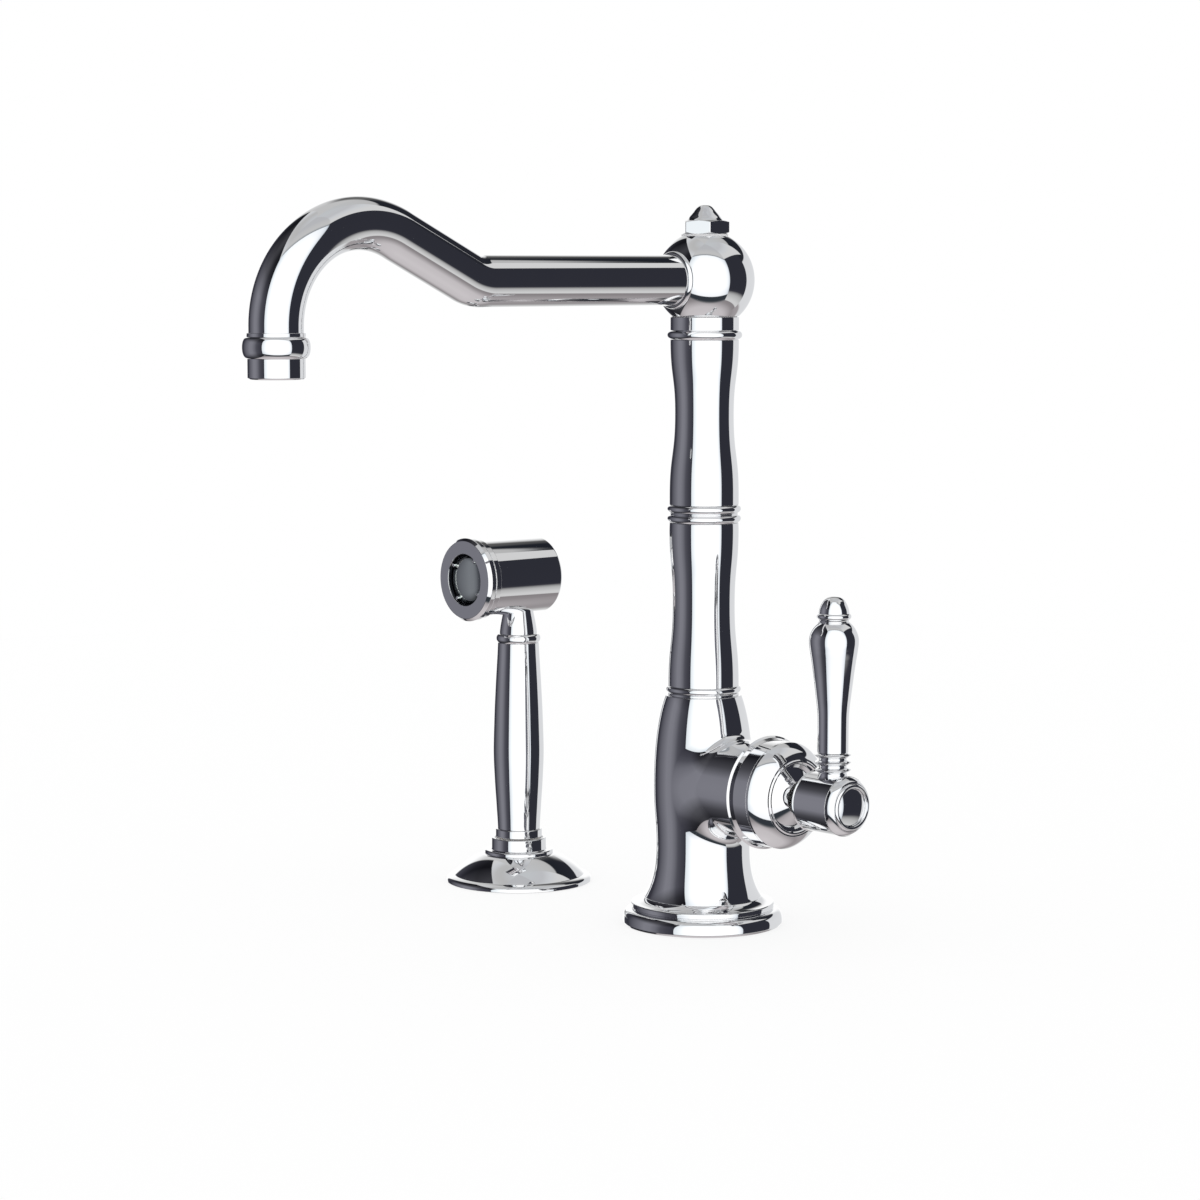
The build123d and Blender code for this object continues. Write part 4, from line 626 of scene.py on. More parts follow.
class FAUCET_OT_spout(bpy.types.Operator):
    """Turn the ball and nozzle, and carry the tube along its bends"""

    bl_idname = "faucet.spout"
    bl_label = "Spout"

    def execute(self, context):
        spout = context.scene.faucet_spout
        low, high = span("ball_body")
        ball_r, bore, foot_r, gallery, half = half_of("ball_body"), 9.05, 15.6, 12.5, 5.2
        ball_z = low + sqrt(ball_r**2 - foot_r**2)
        lathe(
            "ball_body", upright(0), (bore, low), (foot_r, low), arc((ball_r, ball_z), (11.1, high), steps=72),
            (bore, high), (bore, ball_z + half), (gallery, ball_z + half), (gallery, ball_z - half),
            (bore, ball_z - half), body="spout",
        )
        tube_r, mouth = mm(spout.tube), -high_of("spout_collar", 1) - 0.8
        lathe(
            "spout_collar", forward(0, ball_z), (tube_r + 0.05, mouth), (tube_r + 1.5, mouth),
            arc((tube_r + 1.1, mouth + 1.5), (tube_r + 0.1, mouth + 2.1)), ease=0.1, body="spout",
        )

        # Path of the tube: level run, elbow, rising run, bow, drop.
        inner_r, rise = tube_r - mm(spout.wall), spout.rise
        reach, elbow_y, start = -middle_of("aerator_housing", 1), 126.0, 13.0
        elbow_r, crest_r, drop_z = mm(spout.elbow), mm(spout.crest), low_of("spout_tube")
        rise_run = (reach - elbow_y - elbow_r * sin(rise) - crest_r * (1 + sin(rise))) / cos(rise)
        crest_z = ball_z + elbow_r * (1 - cos(rise)) + rise_run * sin(rise) - crest_r * cos(rise)
        elbow_len, crest_len = elbow_r * rise, crest_r * (rise + np.pi / 2)
        marks = np.cumsum([0, elbow_y - start, elbow_len, rise_run, crest_len, crest_z - drop_z])
        counts = (12, 28, 8, 96, 4)
        stations = np.hstack([[0.0], *(np.linspace(a, b, n)[1:] for a, b, n in zip(marks, marks[1:], counts))])
        still = np.zeros_like(stations)
        along = np.stack([still, stations, still, still + 1], 1)
        outer, inner = along + [tube_r, 0, 0, 0], (along * [1, 1, 1, -1])[::-1] + [inner_r, 0, 0, 0]
        last = marks[-1]
        rows = profile(
            (inner_r, 0), (tube_r, 0), ((tube_r, last), lambda _: outer), (inner_r, last),
            ((inner_r, 0), lambda _: inner), ease=0.2,
        )
        s = rows[:, 1]
        turn = np.interp(s, marks, [0, 0, rise, rise, -np.pi / 2, -np.pi / 2])
        elbow_s = np.clip(s - marks[1], 0, elbow_len) / elbow_r
        bow_s = rise - np.clip(s - marks[3], 0, crest_len) / crest_r
        run = start + np.clip(s, 0, marks[1]) + elbow_r * np.sin(elbow_s)
        run += np.clip(s - marks[2], 0, rise_run) * cos(rise) + crest_r * (sin(rise) - np.sin(bow_s))
        up = ball_z + elbow_r * (1 - np.cos(elbow_s)) + np.clip(s - marks[2], 0, rise_run) * sin(rise)
        up += crest_r * (np.cos(bow_s) - cos(rise)) - np.clip(s - marks[4], 0, None)
        centres = np.stack([np.zeros_like(s), -run, up], 1)
        tangents = np.stack([np.zeros_like(s), -np.cos(turn), np.sin(turn)], 1)
        piece("spout_tube", carried(rows, centres, tangents), body="spout")

        axis, sleeve = upright(0, -reach), tube_r + 0.05
        (foot, high), low = span("spout_nozzle"), high_of("aerator_housing")
        bead_top, under, bead_r = high - 0.8, low - 0.25, 14.43
        lathe(
            "spout_nozzle", axis, (inner_r, foot), (10.85, foot), (10.85, low), (11.75, low), (11.75, under),
            bow((bead_r, under), (bead_r, bead_top), (11.95, bead_top), steps=24),
            (11.85, high + 0.8), (sleeve, high + 0.8), (sleeve, drop_z), (inner_r, drop_z), body="spout",
        )
        (low, high), r, mouth = span("aerator_housing"), half_of("aerator_housing"), 9.2
        lathe(
            "aerator_housing", axis, (mouth, low), (r - 0.6, low), (r, low + 0.6), (r, high), (r - 0.8, high),
            (r - 0.8, low + 0.6), (mouth, low + 0.6), body="spout",
        )
        return {"FINISHED"}


class FAUCET_OT_finial(bpy.types.Operator):
    """Cut the hexagonal nut that runs up into a small finial"""

    bl_idname = "faucet.finial"
    bl_label = "Finial nut"

    def execute(self, context):
        (low, high), flat = span("finial_nut"), half_of("finial_nut")
        top = high - 6.8
        rows = profile(
            (0, low), (flat - 0.1, low), (12.2, low + 1.35), (12.2, top - 1.0), (flat - 0.1, top), (8.6, top),
            through(
                (7.6, top + 0.9), (6.7, top + 2.1), (5.85, top + 3.1), (5.05, top + 4.0), (4.4, top + 4.8),
                (3.6, top + 5.7), (2.3, high - 0.2), (0, high),
            ),
            ease=0.12,
        )
        # More rows where long straight runs meet the hexagon.
        gaps = np.linalg.norm(np.diff(rows[:, :2], axis=0), axis=1)
        counts = np.maximum(1, np.ceil(gaps / 0.35)).astype(int)
        at = np.concatenate([np.linspace(k, k + 1, n, endpoint=False) for k, n in enumerate(counts)] + [[len(gaps)]])
        r, z = (np.interp(at, np.arange(len(rows)), rows[:, k]) for k in (0, 1))
        # Radius: the smaller of the turned outline and a hexagon with rounded corners, blended softly.
        corner, keen, half_side = 0.35, 18.0, np.radians(30)
        spread = np.linspace(-1, 1, 41)[:-1]
        offset = half_side * np.sign(spread) * (1 - (1 - np.abs(spread)) ** 1.8)
        a = (np.radians(60) * np.arange(6)[:, None] + offset[None]).ravel()
        from_flat = (a + half_side) % np.radians(60) - half_side
        from_corner = half_side - np.abs(from_flat)
        reach_in = (flat - corner) / cos(half_side)
        meets = np.arctan2(corner * 0.5, reach_in + corner * cos(half_side))
        inside = np.maximum(corner**2 - (reach_in * np.sin(from_corner)) ** 2, 0)
        round_r = reach_in * np.cos(from_corner) + np.sqrt(inside)
        hexagon = np.where(from_corner < meets, round_r, flat / np.cos(from_flat))
        radius = -np.logaddexp(-keen * r[:, None], -keen * hexagon[None]) / keen
        radius = np.where(r[:, None] < 8.0, r[:, None], radius)
        points = np.stack([radius * np.cos(a), radius * np.sin(a), z[:, None] + 0 * radius], -1)
        ahead, behind = np.roll(points, -1, 1), np.roll(points, 1, 1)
        normals = np.cross(ahead - behind, np.gradient(points, axis=0))
        normals[0], normals[-1] = (0, 0, -1), (0, 0, 1)
        piece("finial_nut", grid(points, normals, False))
        return {"FINISHED"}


class FAUCET_OT_bonnet(bpy.types.Operator):
    """Turn the flanged bonnet ring and the domed cover of the valve"""

    bl_idname = "faucet.bonnet"
    bl_label = "Bonnet"

    def execute(self, context):
        valve, axis = context.scene.faucet_valve, sideways(middle_of("bonnet_ring", 2))
        (low, high), rim = span("bonnet_ring", 0), half_of("bonnet_ring", 1)
        band, mouth = mm(valve.bonnet), mm(valve.bonnet) - 1.8
        lathe(
            "bonnet_ring", axis,
            (19.65, low), (rim - 0.35, low), (rim, low + 0.3), (rim - 0.85, low + 1.1), (band, low + 2.9),
            (band, high), (mouth, high), (mouth, low + 6.2), (19.65, low + 6.2), ease=0.1,
        )
        (back, tip), brow = span("bonnet_dome", 0), mm(valve.brow)
        lathe(
            "bonnet_dome", axis,
            (19.2, back), (mouth - 0.05, back), (mouth - 0.05, high), (band - 0.02, high), (band - 0.1, high + 1.2),
            arc((band - 2.7, high + 4.75), (brow, tip - 2.5), steps=36),
            (brow - 0.75, tip - 2.45), (brow - 1.25, tip - 1.95), (brow - 1.9, tip - 1.9), (brow - 2.4, tip - 2.4),
            (brow - 2.9, tip - 4.4), (7.6, tip), (7.5, tip - 0.2), (7.5, tip - 1.6), (14.0, tip - 5.6),
            (18.8, high + 2), ease=0.1,
        )
        return {"FINISHED"}


class FAUCET_OT_lever(bpy.types.Operator):
    """Turn the lever's hub with its flared boss, its cap, ribs, grip and finial"""

    bl_idname = "faucet.lever"
    bl_label = "Lever"

    def execute(self, context):
        valve = context.scene.faucet_valve
        hub_r, (tail, front) = mm(valve.hub), span("lever_hub", 0)
        valve_z, back = low_of("lever_hub") + hub_r, tail + 4.5
        axis, upward = sideways(valve_z), upright(middle_of("lever_grip"))
        hub = profile(
            (0, tail), (5, tail), (5.5, tail + 0.5), (5.5, back), (hub_r - 0.4, back), (hub_r + 0.4, back + 0.45),
            bow((hub_r + 0.2, back + 0.85), (hub_r, back + 1.1), steps=6),
            (hub_r, front + 0.6), (8.25, front + 0.6), (8.25, front - 4), (0, front - 4), ease=0.1,
        )
        boss = profile(
            (0, valve_z), (8.3, valve_z), (8.3, 74.4), bow((7.1, 75.4), (6.2, 76.6), (6.0, 78.5)), (0, 78.5), ease=0.1
        )
        piece("lever_hub", turned(hub, axis), turned(boss, upward), body="lever")
        end = high_of("hub_cap", 0)
        lathe(
            "hub_cap", axis, (6.2, front - 4), (8.2, front - 4), (8.2, front + 0.65), (hub_r - 0.15, front + 0.65),
            bow((12.3, front + 2.2), (11.5, end - 1.5), (10.5, end - 1.15)), (10.25, end - 1.2),
            arc((9.85, end - 0.3), (9.0, end), steps=10),
            (8.4, end - 0.15), (8.2, end - 0.5), (8.2, front + 1), (6.2, front + 1), ease=0.1, body="lever",
        )
        apex = high_of("hub_button", 0)
        lathe(
            "hub_button", axis, (0, front + 1), (8.15, front + 1), (8.15, apex - 1.4),
            arc((4.0, apex - 0.335), (0, apex)), ease=0.1, body="lever",
        )
        low, top, valley, rib = 78.3, 87.3, 5.95, mm(valve.rib)
        ribs = []
        for middle, gap in ((79.8, 0.9), (83.0, 0.8), (86.2, 0)):
            # Pointed rib: two Bezier flanks that meet at its crest.
            flank = (valley, middle - 1.45), (valley + 0.7, middle - 1.1), (rib, middle - 0.3), (rib, middle)
            ribs.append((flank[-1], lambda _, flank=flank: bezier(*flank, steps=8)))
            ribs.append(bow((rib, middle + 0.25), (valley + 0.7, middle + 0.8), (valley, middle + 1.1), steps=8))
            if gap:
                ribs.append((valley, middle + 1.1 + gap))
        lathe("lever_neck", upward, (0, low), (valley, low), *ribs, (0, top), ease=0.06, body="lever")
        lathe(
            "lever_grip", upward, (0, top), (6.7, top),
            through(
                (6.7, 92.0), (6.72, 98.0), (6.82, 103.0), (7.15, 107.0), (7.6, 110.6), (8.0, 113.9), (8.43, 117.3),
                (8.87, 120.8), (9.35, 124.2), (9.87, 127.6), (10.42, 131.1), (mm(valve.grip), 134.4), (10.75, 136.4),
                (10.3, 138.3), (9.6, 139.9), (8.6, 141.5), (7.4, 142.8), (6.95, 143.2),
            ),
            (6.9, 143.5), (0, 143.5), ease=0.12, body="lever",
        )
        tip, foot = high_of("lever_finial"), 143.0
        lathe(
            "lever_finial", upward, (0, foot), (6.6, foot), (6.6, foot + 0.5),
            bow((6.3, foot + 0.8), (6.7, foot + 1.5), steps=6), bead(6.7, 7.5, foot + 1.5, foot + 4.1),
            (6.5, foot + 5.3),
            through(
                (6.3, foot + 6.2), (5.95, foot + 7.2), (5.6, foot + 8.0), (5.1, foot + 8.9), (4.5, foot + 9.8),
                (3.7, foot + 10.5), (2.6, foot + 11.1), (1.3, tip - 0.1), (0, tip),
            ),
            ease=0.12, body="lever",
        )
        return {"FINISHED"}


class FAUCET_OT_stand(bpy.types.Operator):
    """Turn the escutcheon and the holder of the side spray"""

    bl_idname = "faucet.stand"
    bl_label = "Spray stand"

    def execute(self, context):
        rim, axis = mm(context.scene.faucet_spray.rose), upright(middle_of("spray_escutcheon"))
        foot, top = span("spray_escutcheon")
        lathe(
            "spray_escutcheon", axis,
            (12.65, top - 2), (16.5, top - 2.4), arc((rim - 10.8, 6.9), (rim - 5.2, 1.6), steps=24),
            (rim - 2.75, 1.2), (rim - 2.75, foot), (rim, foot), (rim, foot + 0.7),
            bow((rim - 0.1, foot + 2.3), (rim - 1.9, foot + 2.9), (rim - 3.5, foot + 3.3)),
            arc((rim - 9.7, foot + 8.9), (rim - 17.0, top - 0.4), steps=36),
            bow((rim - 18.0, top - 0.2), (rim - 18.1, top), steps=6), (12.65, top),
        )
        (low, high), flange = span("spray_holder"), half_of("spray_holder")
        step, wall_r = top + 1.8, 13.15
        lathe(
            "spray_holder", axis, (11.55, low), (12.6, low), (12.6, top), (flange, top), (flange, step - 0.5),
            (flange - 0.5, step), (wall_r + 0.45, step),
            bow((wall_r + 0.05, step + 0.1), (wall_r, step + 0.7), steps=8),
            (wall_r, high - 0.3), (wall_r - 0.3, high), (11.55, high),
        )
        return {"FINISHED"}


class FAUCET_OT_handset(bpy.types.Operator):
    """Turn the side spray's tail, collar, grip, ring and neck"""

    bl_idname = "faucet.handset"
    bl_label = "Spray handset"

    def execute(self, context):
        belly, axis = mm(context.scene.faucet_spray.grip), upright(middle_of("handset_grip"))
        (low, top), seat = span("tail_cone"), high_of("spray_holder")
        lathe(
            "tail_cone", axis, (7, low), (8.4, low), (10.2, seat), (6, seat), (6, top), (4, top), (4, low + 11),
            (7, low + 11), body="hose_swivel", slot="brass",
        )
        (low, high), crest = span("handset_collar"), half_of("handset_collar")
        lathe(
            "handset_collar", axis, (6.05, low), (crest - 0.3, low), (crest, low + 0.3), (crest, high - 0.3),
            (crest - 0.3, high), (6.05, high), body="handset",
        )
        foot, top = span("handset_grip")
        lathe(
            "handset_grip", axis, (6.05, foot), (10.2, foot),
            through(
                (10.4, 29.5), (10.7, 34.0), (11.05, 39.5), (11.5, 46.0), (11.85, 52.5), (12.1, 58.0), (belly, 63.0),
                (12.1, 69.0), (11.9, 75.5), (11.6, 84.0), (11.2, 92.0), (10.85, 98.5), (10.45, 105.0), (10.15, 110.0),
                (9.9, top),
            ),
            (6.0, top), (6.0, top - 8), (4.8, top - 8), (4.8, 30.5), (6.05, 30.5), body="handset",
        )
        (low, high), crest = span("handset_ring"), half_of("handset_ring")
        lathe(
            "handset_ring", axis, (6.05, low), (crest - 0.9, low), bead(crest - 0.9, crest, low, high), (6.05, high),
            body="handset",
        )
        foot = low_of("handset_neck")
        lathe(
            "handset_neck", axis, (4.2, foot), (6.0, foot), (6.0, high), (9.0, high),
            through((8.95, high + 1.2), (8.75, high + 2.8), (8.35, high + 5.2), (7.8, high + 8.1), (7.25, high + 10.6)),
            (7.1, high + 12.0), (4.2, high + 12.0), body="handset",
        )
        return {"FINISHED"}


class FAUCET_OT_spray_head(bpy.types.Operator):
    """Turn the spray's drum-shaped head, its face, spray plate and push button"""

    bl_idname = "faucet.spray_head"
    bl_label = "Spray head"

    def execute(self, context):
        spray = context.scene.faucet_spray
        r, rim = mm(spray.head), mm(spray.rim)
        axis = forward(middle_of("handset_head"), high_of("handset_head") - r)

        def ahead(node):
            """Back and front of a node along the axis."""
            return -high_of(node, 1), -low_of(node, 1)

        back, front = ahead("handset_head")
        lathe(
            "handset_head", axis, (8.9, back), (r - 1.4, back), arc((r - 0.42, back + 0.42), (r, back + 1.4)),
            (r, front), (r - 2, front), (r - 2, back + 3.5), (8.9, back + 3.5), body="handset",
        )
        face = ahead("face_ring")[1]
        ring = profile(
            (12.3, front - 4), (r - 2.05, front - 4), (r - 2.05, front), (18.9, front), (18.9, face - 4.8),
            (18.5, face - 4.8), (18.5, face - 4.4), (rim, face - 3.9), (rim, face - 1.5), (18.3, face), (12.3, face),
        )
        plate, apex = ahead("spray_insert")
        shoulder = apex - 2.2
        ribs = [self.rib(axis, radians(degrees), shoulder - 0.3, apex - 0.1) for degrees in (55, 145, 235, 325)]
        piece("face_ring", turned(ring, axis), *ribs, body="handset")
        lathe(
            "spray_insert", axis,
            (0, plate), (12.25, plate), (12.25, apex), (12.0, apex), (12.0, shoulder - 0.4), (11.1, shoulder),
            bow((9.8, shoulder + 1.3), (5.8, apex), (0, apex)), body="handset", slot="spray_face",
        )
        (tip, inner), thumb = ahead("spray_button"), half_of("spray_button")
        lathe(
            "spray_button", axis, (0, tip), bow((thumb - 4, tip + 0.1), (thumb - 2.2, tip + 0.5), steps=12),
            arc((thumb - 0.7, tip + 0.95), (thumb, tip + 2.2)),
            (thumb, inner), (thumb - 1.6, inner), (thumb - 1.6, tip + 5.2), (0, tip + 5.2), body="button",
        )
        return {"FINISHED"}

    @staticmethod
    def rib(axis, angle, low, high):
        """Small block rib from the dome to the bore: a superellipse outline carried from low to high,
        with both ends drawn in to a point."""
        origin, e1, e2, e3 = axis
        out, side = cos(angle) * e1 + sin(angle) * e2, -sin(angle) * e1 + cos(angle) * e2
        half_long, half_wide, place, power = 1.15, 0.65, 11.3, 0.35
        a = np.arange(24) * np.pi / 12
        u, v = (np.sign(f(a)) * np.abs(f(a)) ** power for f in (np.cos, np.sin))
        size = np.array([0, 0.9, 1, 1, 0.9, 0])[:, None, None]
        height = np.array([low, low, low + 0.15, high - 0.15, high, high])[:, None, None]
        ring = half_long * u[:, None] * out + half_wide * v[:, None] * side
        points = origin + place * out + size * ring[None] + height * e3
        flat = np.array([-1, -0.7, 0, 0, 0.7, 1])[:, None, None]
        normals = (1 - np.abs(flat)) * ring[None] / np.linalg.norm(ring, axis=1)[None, :, None] + flat * e3
        return facing_out(grid(points, normals, False))


class FAUCET_OT_carried(bpy.types.Operator):
    """Give every piece that keeps its CAD shape the finish of its slot"""

    bl_idname = "faucet.carried"
    bl_label = "Inner pieces"

    def execute(self, context):
        for row in frame["record"]["subparts"]:
            mesh = nodes[row["node"]].data
            mesh.materials.clear()
            mesh.materials.append(slot_finish(row["material_slot"]))
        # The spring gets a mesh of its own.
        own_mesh(nodes["spray_spring"])
        return {"FINISHED"}


def lay_floor(stage):
    """Disc of rings r = R t, whose finish fades out towards its rim."""
    radius, steps, sides = stage.floor_radius, 12, 96
    t = np.linspace(0, 1, steps + 1)[:, None]
    a = np.arange(sides)[None] * 2 * np.pi / sides
    points = np.stack([radius * t * np.cos(a), radius * t * np.sin(a), 0 * t * a], -1)
    vertices, _, quads, triangles = grid(points, points, False)
    mesh = bpy.data.meshes.new("studio_floor")
    mesh.from_pydata(vertices.tolist(), [], quads[:, ::-1].tolist() + triangles[:, ::-1].tolist())
    mesh.validate()
    material = bpy.data.materials.new("floor_paper")
    add = emptied(material)
    away = add("VectorMath", {0: add("TexCoord", out="Object")}, "Value", operation="LENGTH")
    fade = add("MapRange", {0: away, 1: radius * 0.35, 2: radius * 0.95}, interpolation_type="SMOOTHSTEP")
    lit = add("BsdfDiffuse", {"Color": (*stage.floor_tint, 1.0)})
    white = add("Emission", {0: (1, 1, 1, 1), 1: stage.level})
    share = add("Math", {0: add("LightPath", out="Is Camera Ray"), 1: 0.8}, operation="MULTIPLY")
    paper = add("MixShader", {0: share, 1: lit, 2: white})
    add("OutputMaterial", {"Surface": add("MixShader", {0: fade, 1: paper, 2: add("BsdfTransparent")})})
    mesh.materials.append(material)
    obj = bpy.data.objects.new("studio_floor", mesh)
    bpy.context.scene.collection.objects.link(obj)
    obj.visible_glossy = False


def light_studio(stage):
    """Soft studio by direction: a wide white panel, a charcoal screen, a pale window and a grey wall under
    a pale ceiling, seen in reflections only. Everything else sees plain light at the stage's level."""
    world = bpy.data.worlds.new("studio")
    bpy.context.scene.world = world
    add = emptied(world)
    mix = partial(blended, add)
    world.cycles.sampling_method = "NONE"
    chrome_level, degrees_in_radian = 0.905, 57.29578

    def seen(value):
        """Linear light that shows as this 8-bit shade in the chrome."""
        shade = np.array(value if isinstance(value, tuple) else (value,) * 3) / 255.0
        linear = np.where(shade <= 0.04045, shade / 12.92, ((shade + 0.055) / 1.055) ** 2.4)
        return (*(linear / chrome_level), 1.0)

    def violet(shade):
        return (shade, shade, shade + 8)

    def rosy(shade):
        return (shade + 3, shade - 2, shade)

    def math(operation, a, b=0.0):
        return add("Math", {0: a, 1: b}, operation=operation)

    def edge(value, at, soft):
        """0 below the edge and 1 above it."""
        return add("MapRange", {0: value, 1: at - soft, 2: at + soft}, interpolation_type="SMOOTHSTEP")

    def ladder(value, low, high, *steps):
        """Shades set at marks along a value."""
        ramp = add("ValToRGB", {0: add("MapRange", {0: value, 1: low, 2: high})})
        stops = ramp.node.color_ramp.elements
        for k, (mark, shade) in enumerate(steps):
            at = (mark - low) / (high - low)
            stop = stops[k] if k < 2 else stops.new(at)
            stop.position, stop.color = at, seen(shade)
        return ramp

    direction = add("TexCoord", out="Generated")
    x, y, z = add("SeparateXYZ", {0: direction}).node.outputs
    azimuth = math("MULTIPLY", math("ARCTAN2", y, x), degrees_in_radian)
    height = math("MULTIPLY", math("ARCSINE", z), degrees_in_radian)

    def by_height(*steps):
        return ladder(height, -90, 90, *steps)

    def slope(degrees):
        """Height over run towards a bearing."""
        bearing = (cos(radians(degrees)), sin(radians(degrees)), 0.0)
        run = add("VectorMath", {0: direction, 1: bearing}, "Value", operation="DOT_PRODUCT")
        return math("DIVIDE", z, math("MAXIMUM", run, 0.02))

    ceiling = [(50, 206), (58, (200, 202, 205)), (66, (187, 188, 191)), (80, (189, 192, 195)), (90, (189, 192, 195))]
    pinks = ((-90, 200), (-76, 194), (-62, 190), (-57, 178), (-52, 162), (-46, 138), (-40, 128), (-30, 128))
    ground = by_height(*((mark, rosy(shade)) for mark, shade in pinks))
    top = by_height((-90, 190), (46, 196), *ceiling[:2], (66, 184), (72, 181), (84, (189, 191, 194)))
    greys = (
        (-180, 48), (-177, 48), (-170, 70), (-160, 88), (-146, 105), (-135, 118), (-124, 116), (-114, 101), (-105, 74),
        (-96, 62), (-90, 57), (-84, 45), (20, 60), (105, 51), (135, 148), (150, 120), (165, 64), (180, 48),
    )
    wall = ladder(azimuth, -180, 180, *((mark, violet(shade)) for mark, shade in greys))
    dusk = ladder(math("ABSOLUTE", height), 0, 90, (0, 255), (18, 255), (34, 170), (46, 130), (90, 120))
    wall = mix(1.0, wall, dusk, "MULTIPLY")
    stands = slope(-138)
    wall = mix(edge(stands, 1.93, 0.03), wall, top)
    wall = mix(edge(stands, -1.352, 0.03), ground, wall)

    screen = by_height(
        (-90, 206), (-36, 204), (-27, 177), (-24, 150), (-20, (52, 52, 60)), (-16, (45, 46, 54)), (90, (43, 44, 52))
    )
    screen = mix(edge(height, -40, 0.7), ground, screen)
    over = edge(slope(30), 0.958, 0.015)
    above_screen = by_height((-90, 207), (50, 207), *ceiling[1:])
    screen = mix(over, screen, above_screen)
    window = by_height(
        (-90, rosy(150)), (-34.5, rosy(152)), (-32.5, 196), (-30.6, (213, 214, 216)), (0, (215, 216, 218)),
        (23.5, (211, 212, 214)), (24.6, (38, 39, 46)), (49, (30, 33, 40)), (50.4, 180), (56, 184), ceiling[-1],
    )
    window = mix(edge(height, -45, 5), ground, window)
    window = mix(over, window, mix(edge(azimuth, 84, 0.8), above_screen, window))
    lamp = ((-90, 160), (-42, 160), (-28, 215), (-20, 252), (18, 252))
    glow = by_height(*lamp, (28, 214), (36, 80), (48, 110), (54, 190), (90, 190))
    far_glow = by_height(*lamp, (32, 205), (54, 190), (90, 190))
    glow = mix(edge(azimuth, 148, 6), glow, far_glow)
    glow = mix(edge(height, -42, 4), ground, glow)
    rise, fall = slope(-42), math("MULTIPLY", slope(-30), -1.0)
    above = ladder(
        rise, 0, 4, (0, 255), (0.8, 255), (1.1, 249), (1.3, (243, 245, 247)), (1.6, (238, 241, 244)),
        (1.63, (238, 241, 244)), (1.655, (148, 152, 156)), (1.80, (152, 156, 160)), (1.86, 186), (2.1, 191),
        (4, (181, 182, 185)),
    )
    below = ladder(
        fall, 0, 4, (0, 255), (0.3, 255), (0.5, (244, 245, 247)), (0.7, (239, 240, 242)), (0.765, (232, 234, 237)),
        (0.785, (49, 54, 60)), (1.1, (49, 54, 60)), (1.2, (82, 84, 88)), (1.32, (130, 128, 130)), (4, (130, 128, 130)),
    )
    below = mix(edge(fall, 1.35, 0.12), below, ground)
    sweep = ladder(
        azimuth, -90, 30, (-90, (210, 216, 221)), (-82, (218, 224, 228)), (-78, (228, 233, 236)),
        (-71, (243, 246, 248)), (-58, 255), (-4, 255), (7, (247, 248, 249)), (13, (236, 239, 242)),
        (17.8, (206, 212, 219)), (30, (200, 206, 214)),
    )
    panel = mix(edge(height, 0, 2), below, above)
    under_rise, over_fall = math("MULTIPLY", rise, -1.0), math("MULTIPLY", fall, -1.0)
    lit = math("MULTIPLY", edge(under_rise, -1.64, 0.01), edge(over_fall, -0.775, 0.01))
    panel = mix(lit, panel, mix(1.0, panel, sweep, "MULTIPLY"))

    # Bearings where the wall gives way to the panel, the screen, the window, the glow and the wall again.
    colour = wall
    areas = (-84, 0.5, panel), (17.8, 0.6, screen), (70, 0.8, window), (122, 8, glow), (164.5, 1.5, wall)
    for start, soft, area in areas:
        colour = mix(edge(azimuth, start, soft), colour, area)
    studio = add("Background", {0: colour, 1: stage.level})
    plain = add("Background", {0: (1, 1, 1, 1), 1: stage.level})
    mixed = add("MixShader", {0: add("LightPath", out="Is Glossy Ray"), 1: plain, 2: studio})
    add("OutputWorld", {"Surface": mixed})


def set_camera(stage):
    """Camera at the height of the finial, looking slightly down at the faucet from its front right."""
    place = Vector((1.053996, -0.956980, 0.295745))
    ahead = Vector((-0.75760682, 0.6442826, -0.10455545)).normalized()
    right = ahead.cross(Vector((0, 0, 1))).normalized()
    up = right.cross(ahead)
    data = bpy.data.cameras.new("studio_camera")
    data.sensor_width, data.lens = 36.0, stage.lens
    data.clip_start, data.clip_end = 0.05, 20.0
    camera = bpy.data.objects.new("studio_camera", data)
    turn = Matrix((right, up, -ahead)).transposed().to_4x4()
    camera.matrix_world = Matrix.Translation(place) @ turn
    bpy.context.scene.collection.objects.link(camera)
    bpy.context.scene.camera = camera


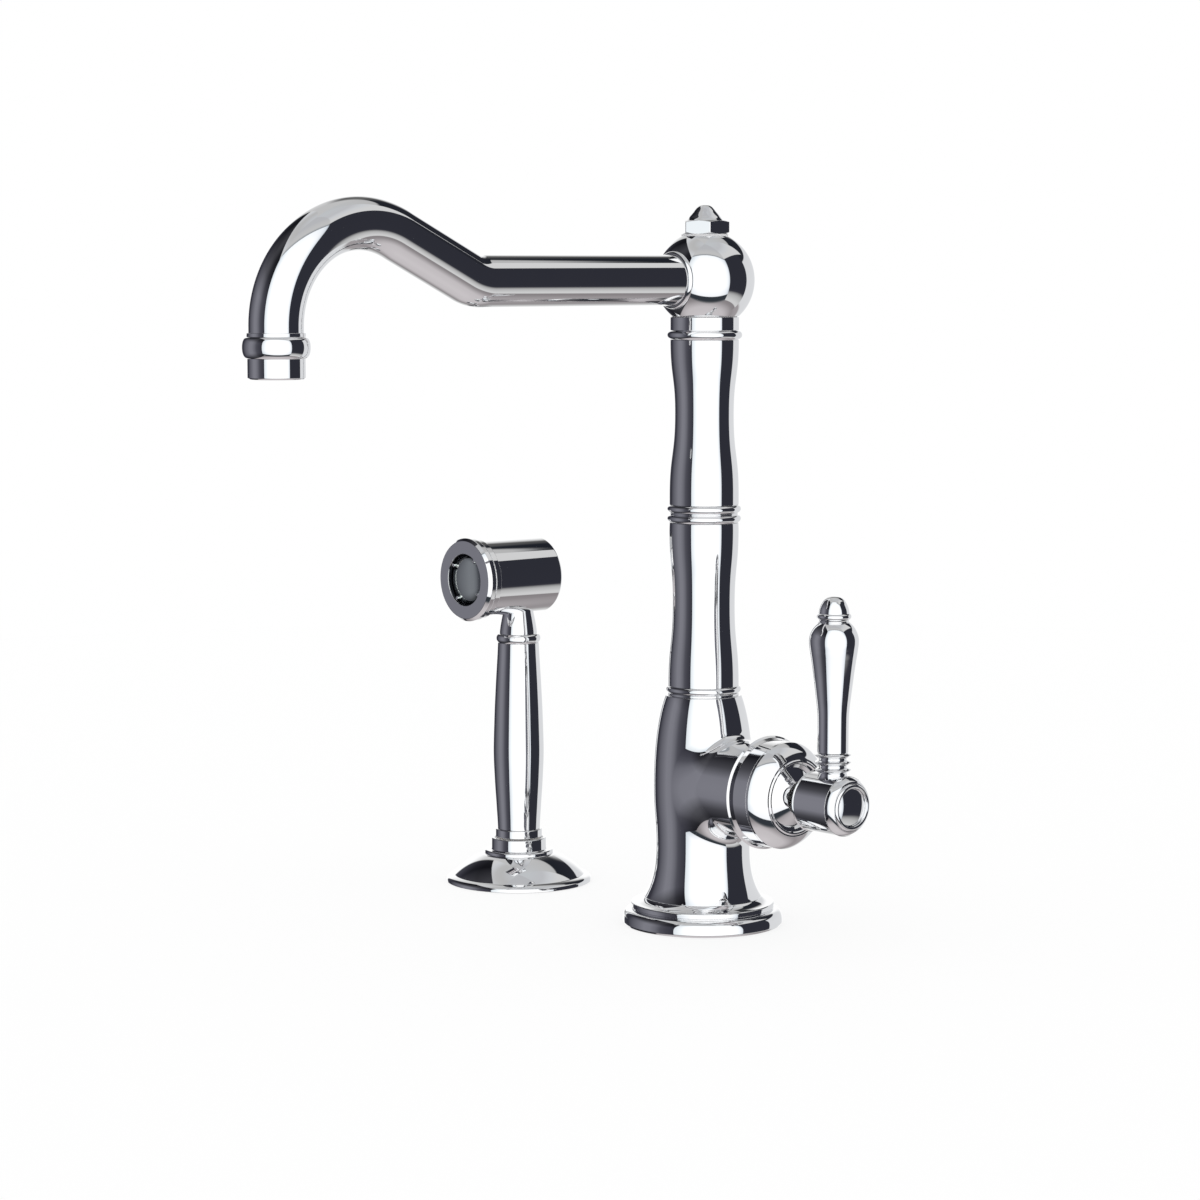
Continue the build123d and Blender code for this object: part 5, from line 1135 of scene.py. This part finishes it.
class FAUCET_OT_stage(bpy.types.Operator):
    """Lay the floor, light the studio and set up the camera"""

    bl_idname = "faucet.stage"
    bl_label = "Stage"

    def execute(self, context):
        context.scene.view_settings.view_transform = "Standard"
        for build in (lay_floor, light_studio, set_camera):
            build(context.scene.faucet_stage)
        return {"FINISHED"}


class FAUCET_PT_panel(bpy.types.Panel):
    """Lists the faucet's settings and pieces"""

    bl_idname = "FAUCET_PT_panel"
    bl_label = "Kitchen Faucet"
    bl_space_type = "VIEW_3D"
    bl_region_type = "UI"
    bl_category = "Faucet"

    def draw(self, context):
        layout = self.layout
        for group in GROUPS:
            box = layout.box()
            box.label(text=group.replace("_", " ").capitalize())
            settings = getattr(context.scene, group)
            for key in settings.bl_rna.properties.keys():
                if key not in ("rna_type", "name"):
                    box.prop(settings, key)
        for operator in OPERATORS:
            layout.operator(operator.bl_idname)


GROUPS = {
    "faucet_finishes": FaucetFinishes,
    "faucet_column": FaucetColumn,
    "faucet_spout": FaucetSpout,
    "faucet_valve": FaucetValve,
    "faucet_spray": FaucetSpray,
    "faucet_stage": FaucetStage,
}
OPERATORS = (
    FAUCET_OT_stage, FAUCET_OT_column, FAUCET_OT_body, FAUCET_OT_spout, FAUCET_OT_finial, FAUCET_OT_bonnet,
    FAUCET_OT_lever, FAUCET_OT_stand, FAUCET_OT_handset, FAUCET_OT_spray_head, FAUCET_OT_carried,
)
CLASSES = (*GROUPS.values(), *OPERATORS, FAUCET_PT_panel)


def register():
    for kind in CLASSES:
        bpy.utils.register_class(kind)
    for name, group in GROUPS.items():
        setattr(bpy.types.Scene, name, PointerProperty(type=group))


def unregister():
    for name in GROUPS:
        delattr(bpy.types.Scene, name)
    for kind in reversed(CLASSES):
        bpy.utils.unregister_class(kind)


def main():
    register()
    bpy.ops.faucet.stage()
    bpy.ops.faucet.column()
    bpy.ops.faucet.body()
    bpy.ops.faucet.spout()
    bpy.ops.faucet.finial()
    bpy.ops.faucet.bonnet()
    bpy.ops.faucet.lever()
    bpy.ops.faucet.stand()
    bpy.ops.faucet.handset()
    bpy.ops.faucet.spray_head()
    bpy.ops.faucet.carried()


if __name__ == "__main__":
    main()
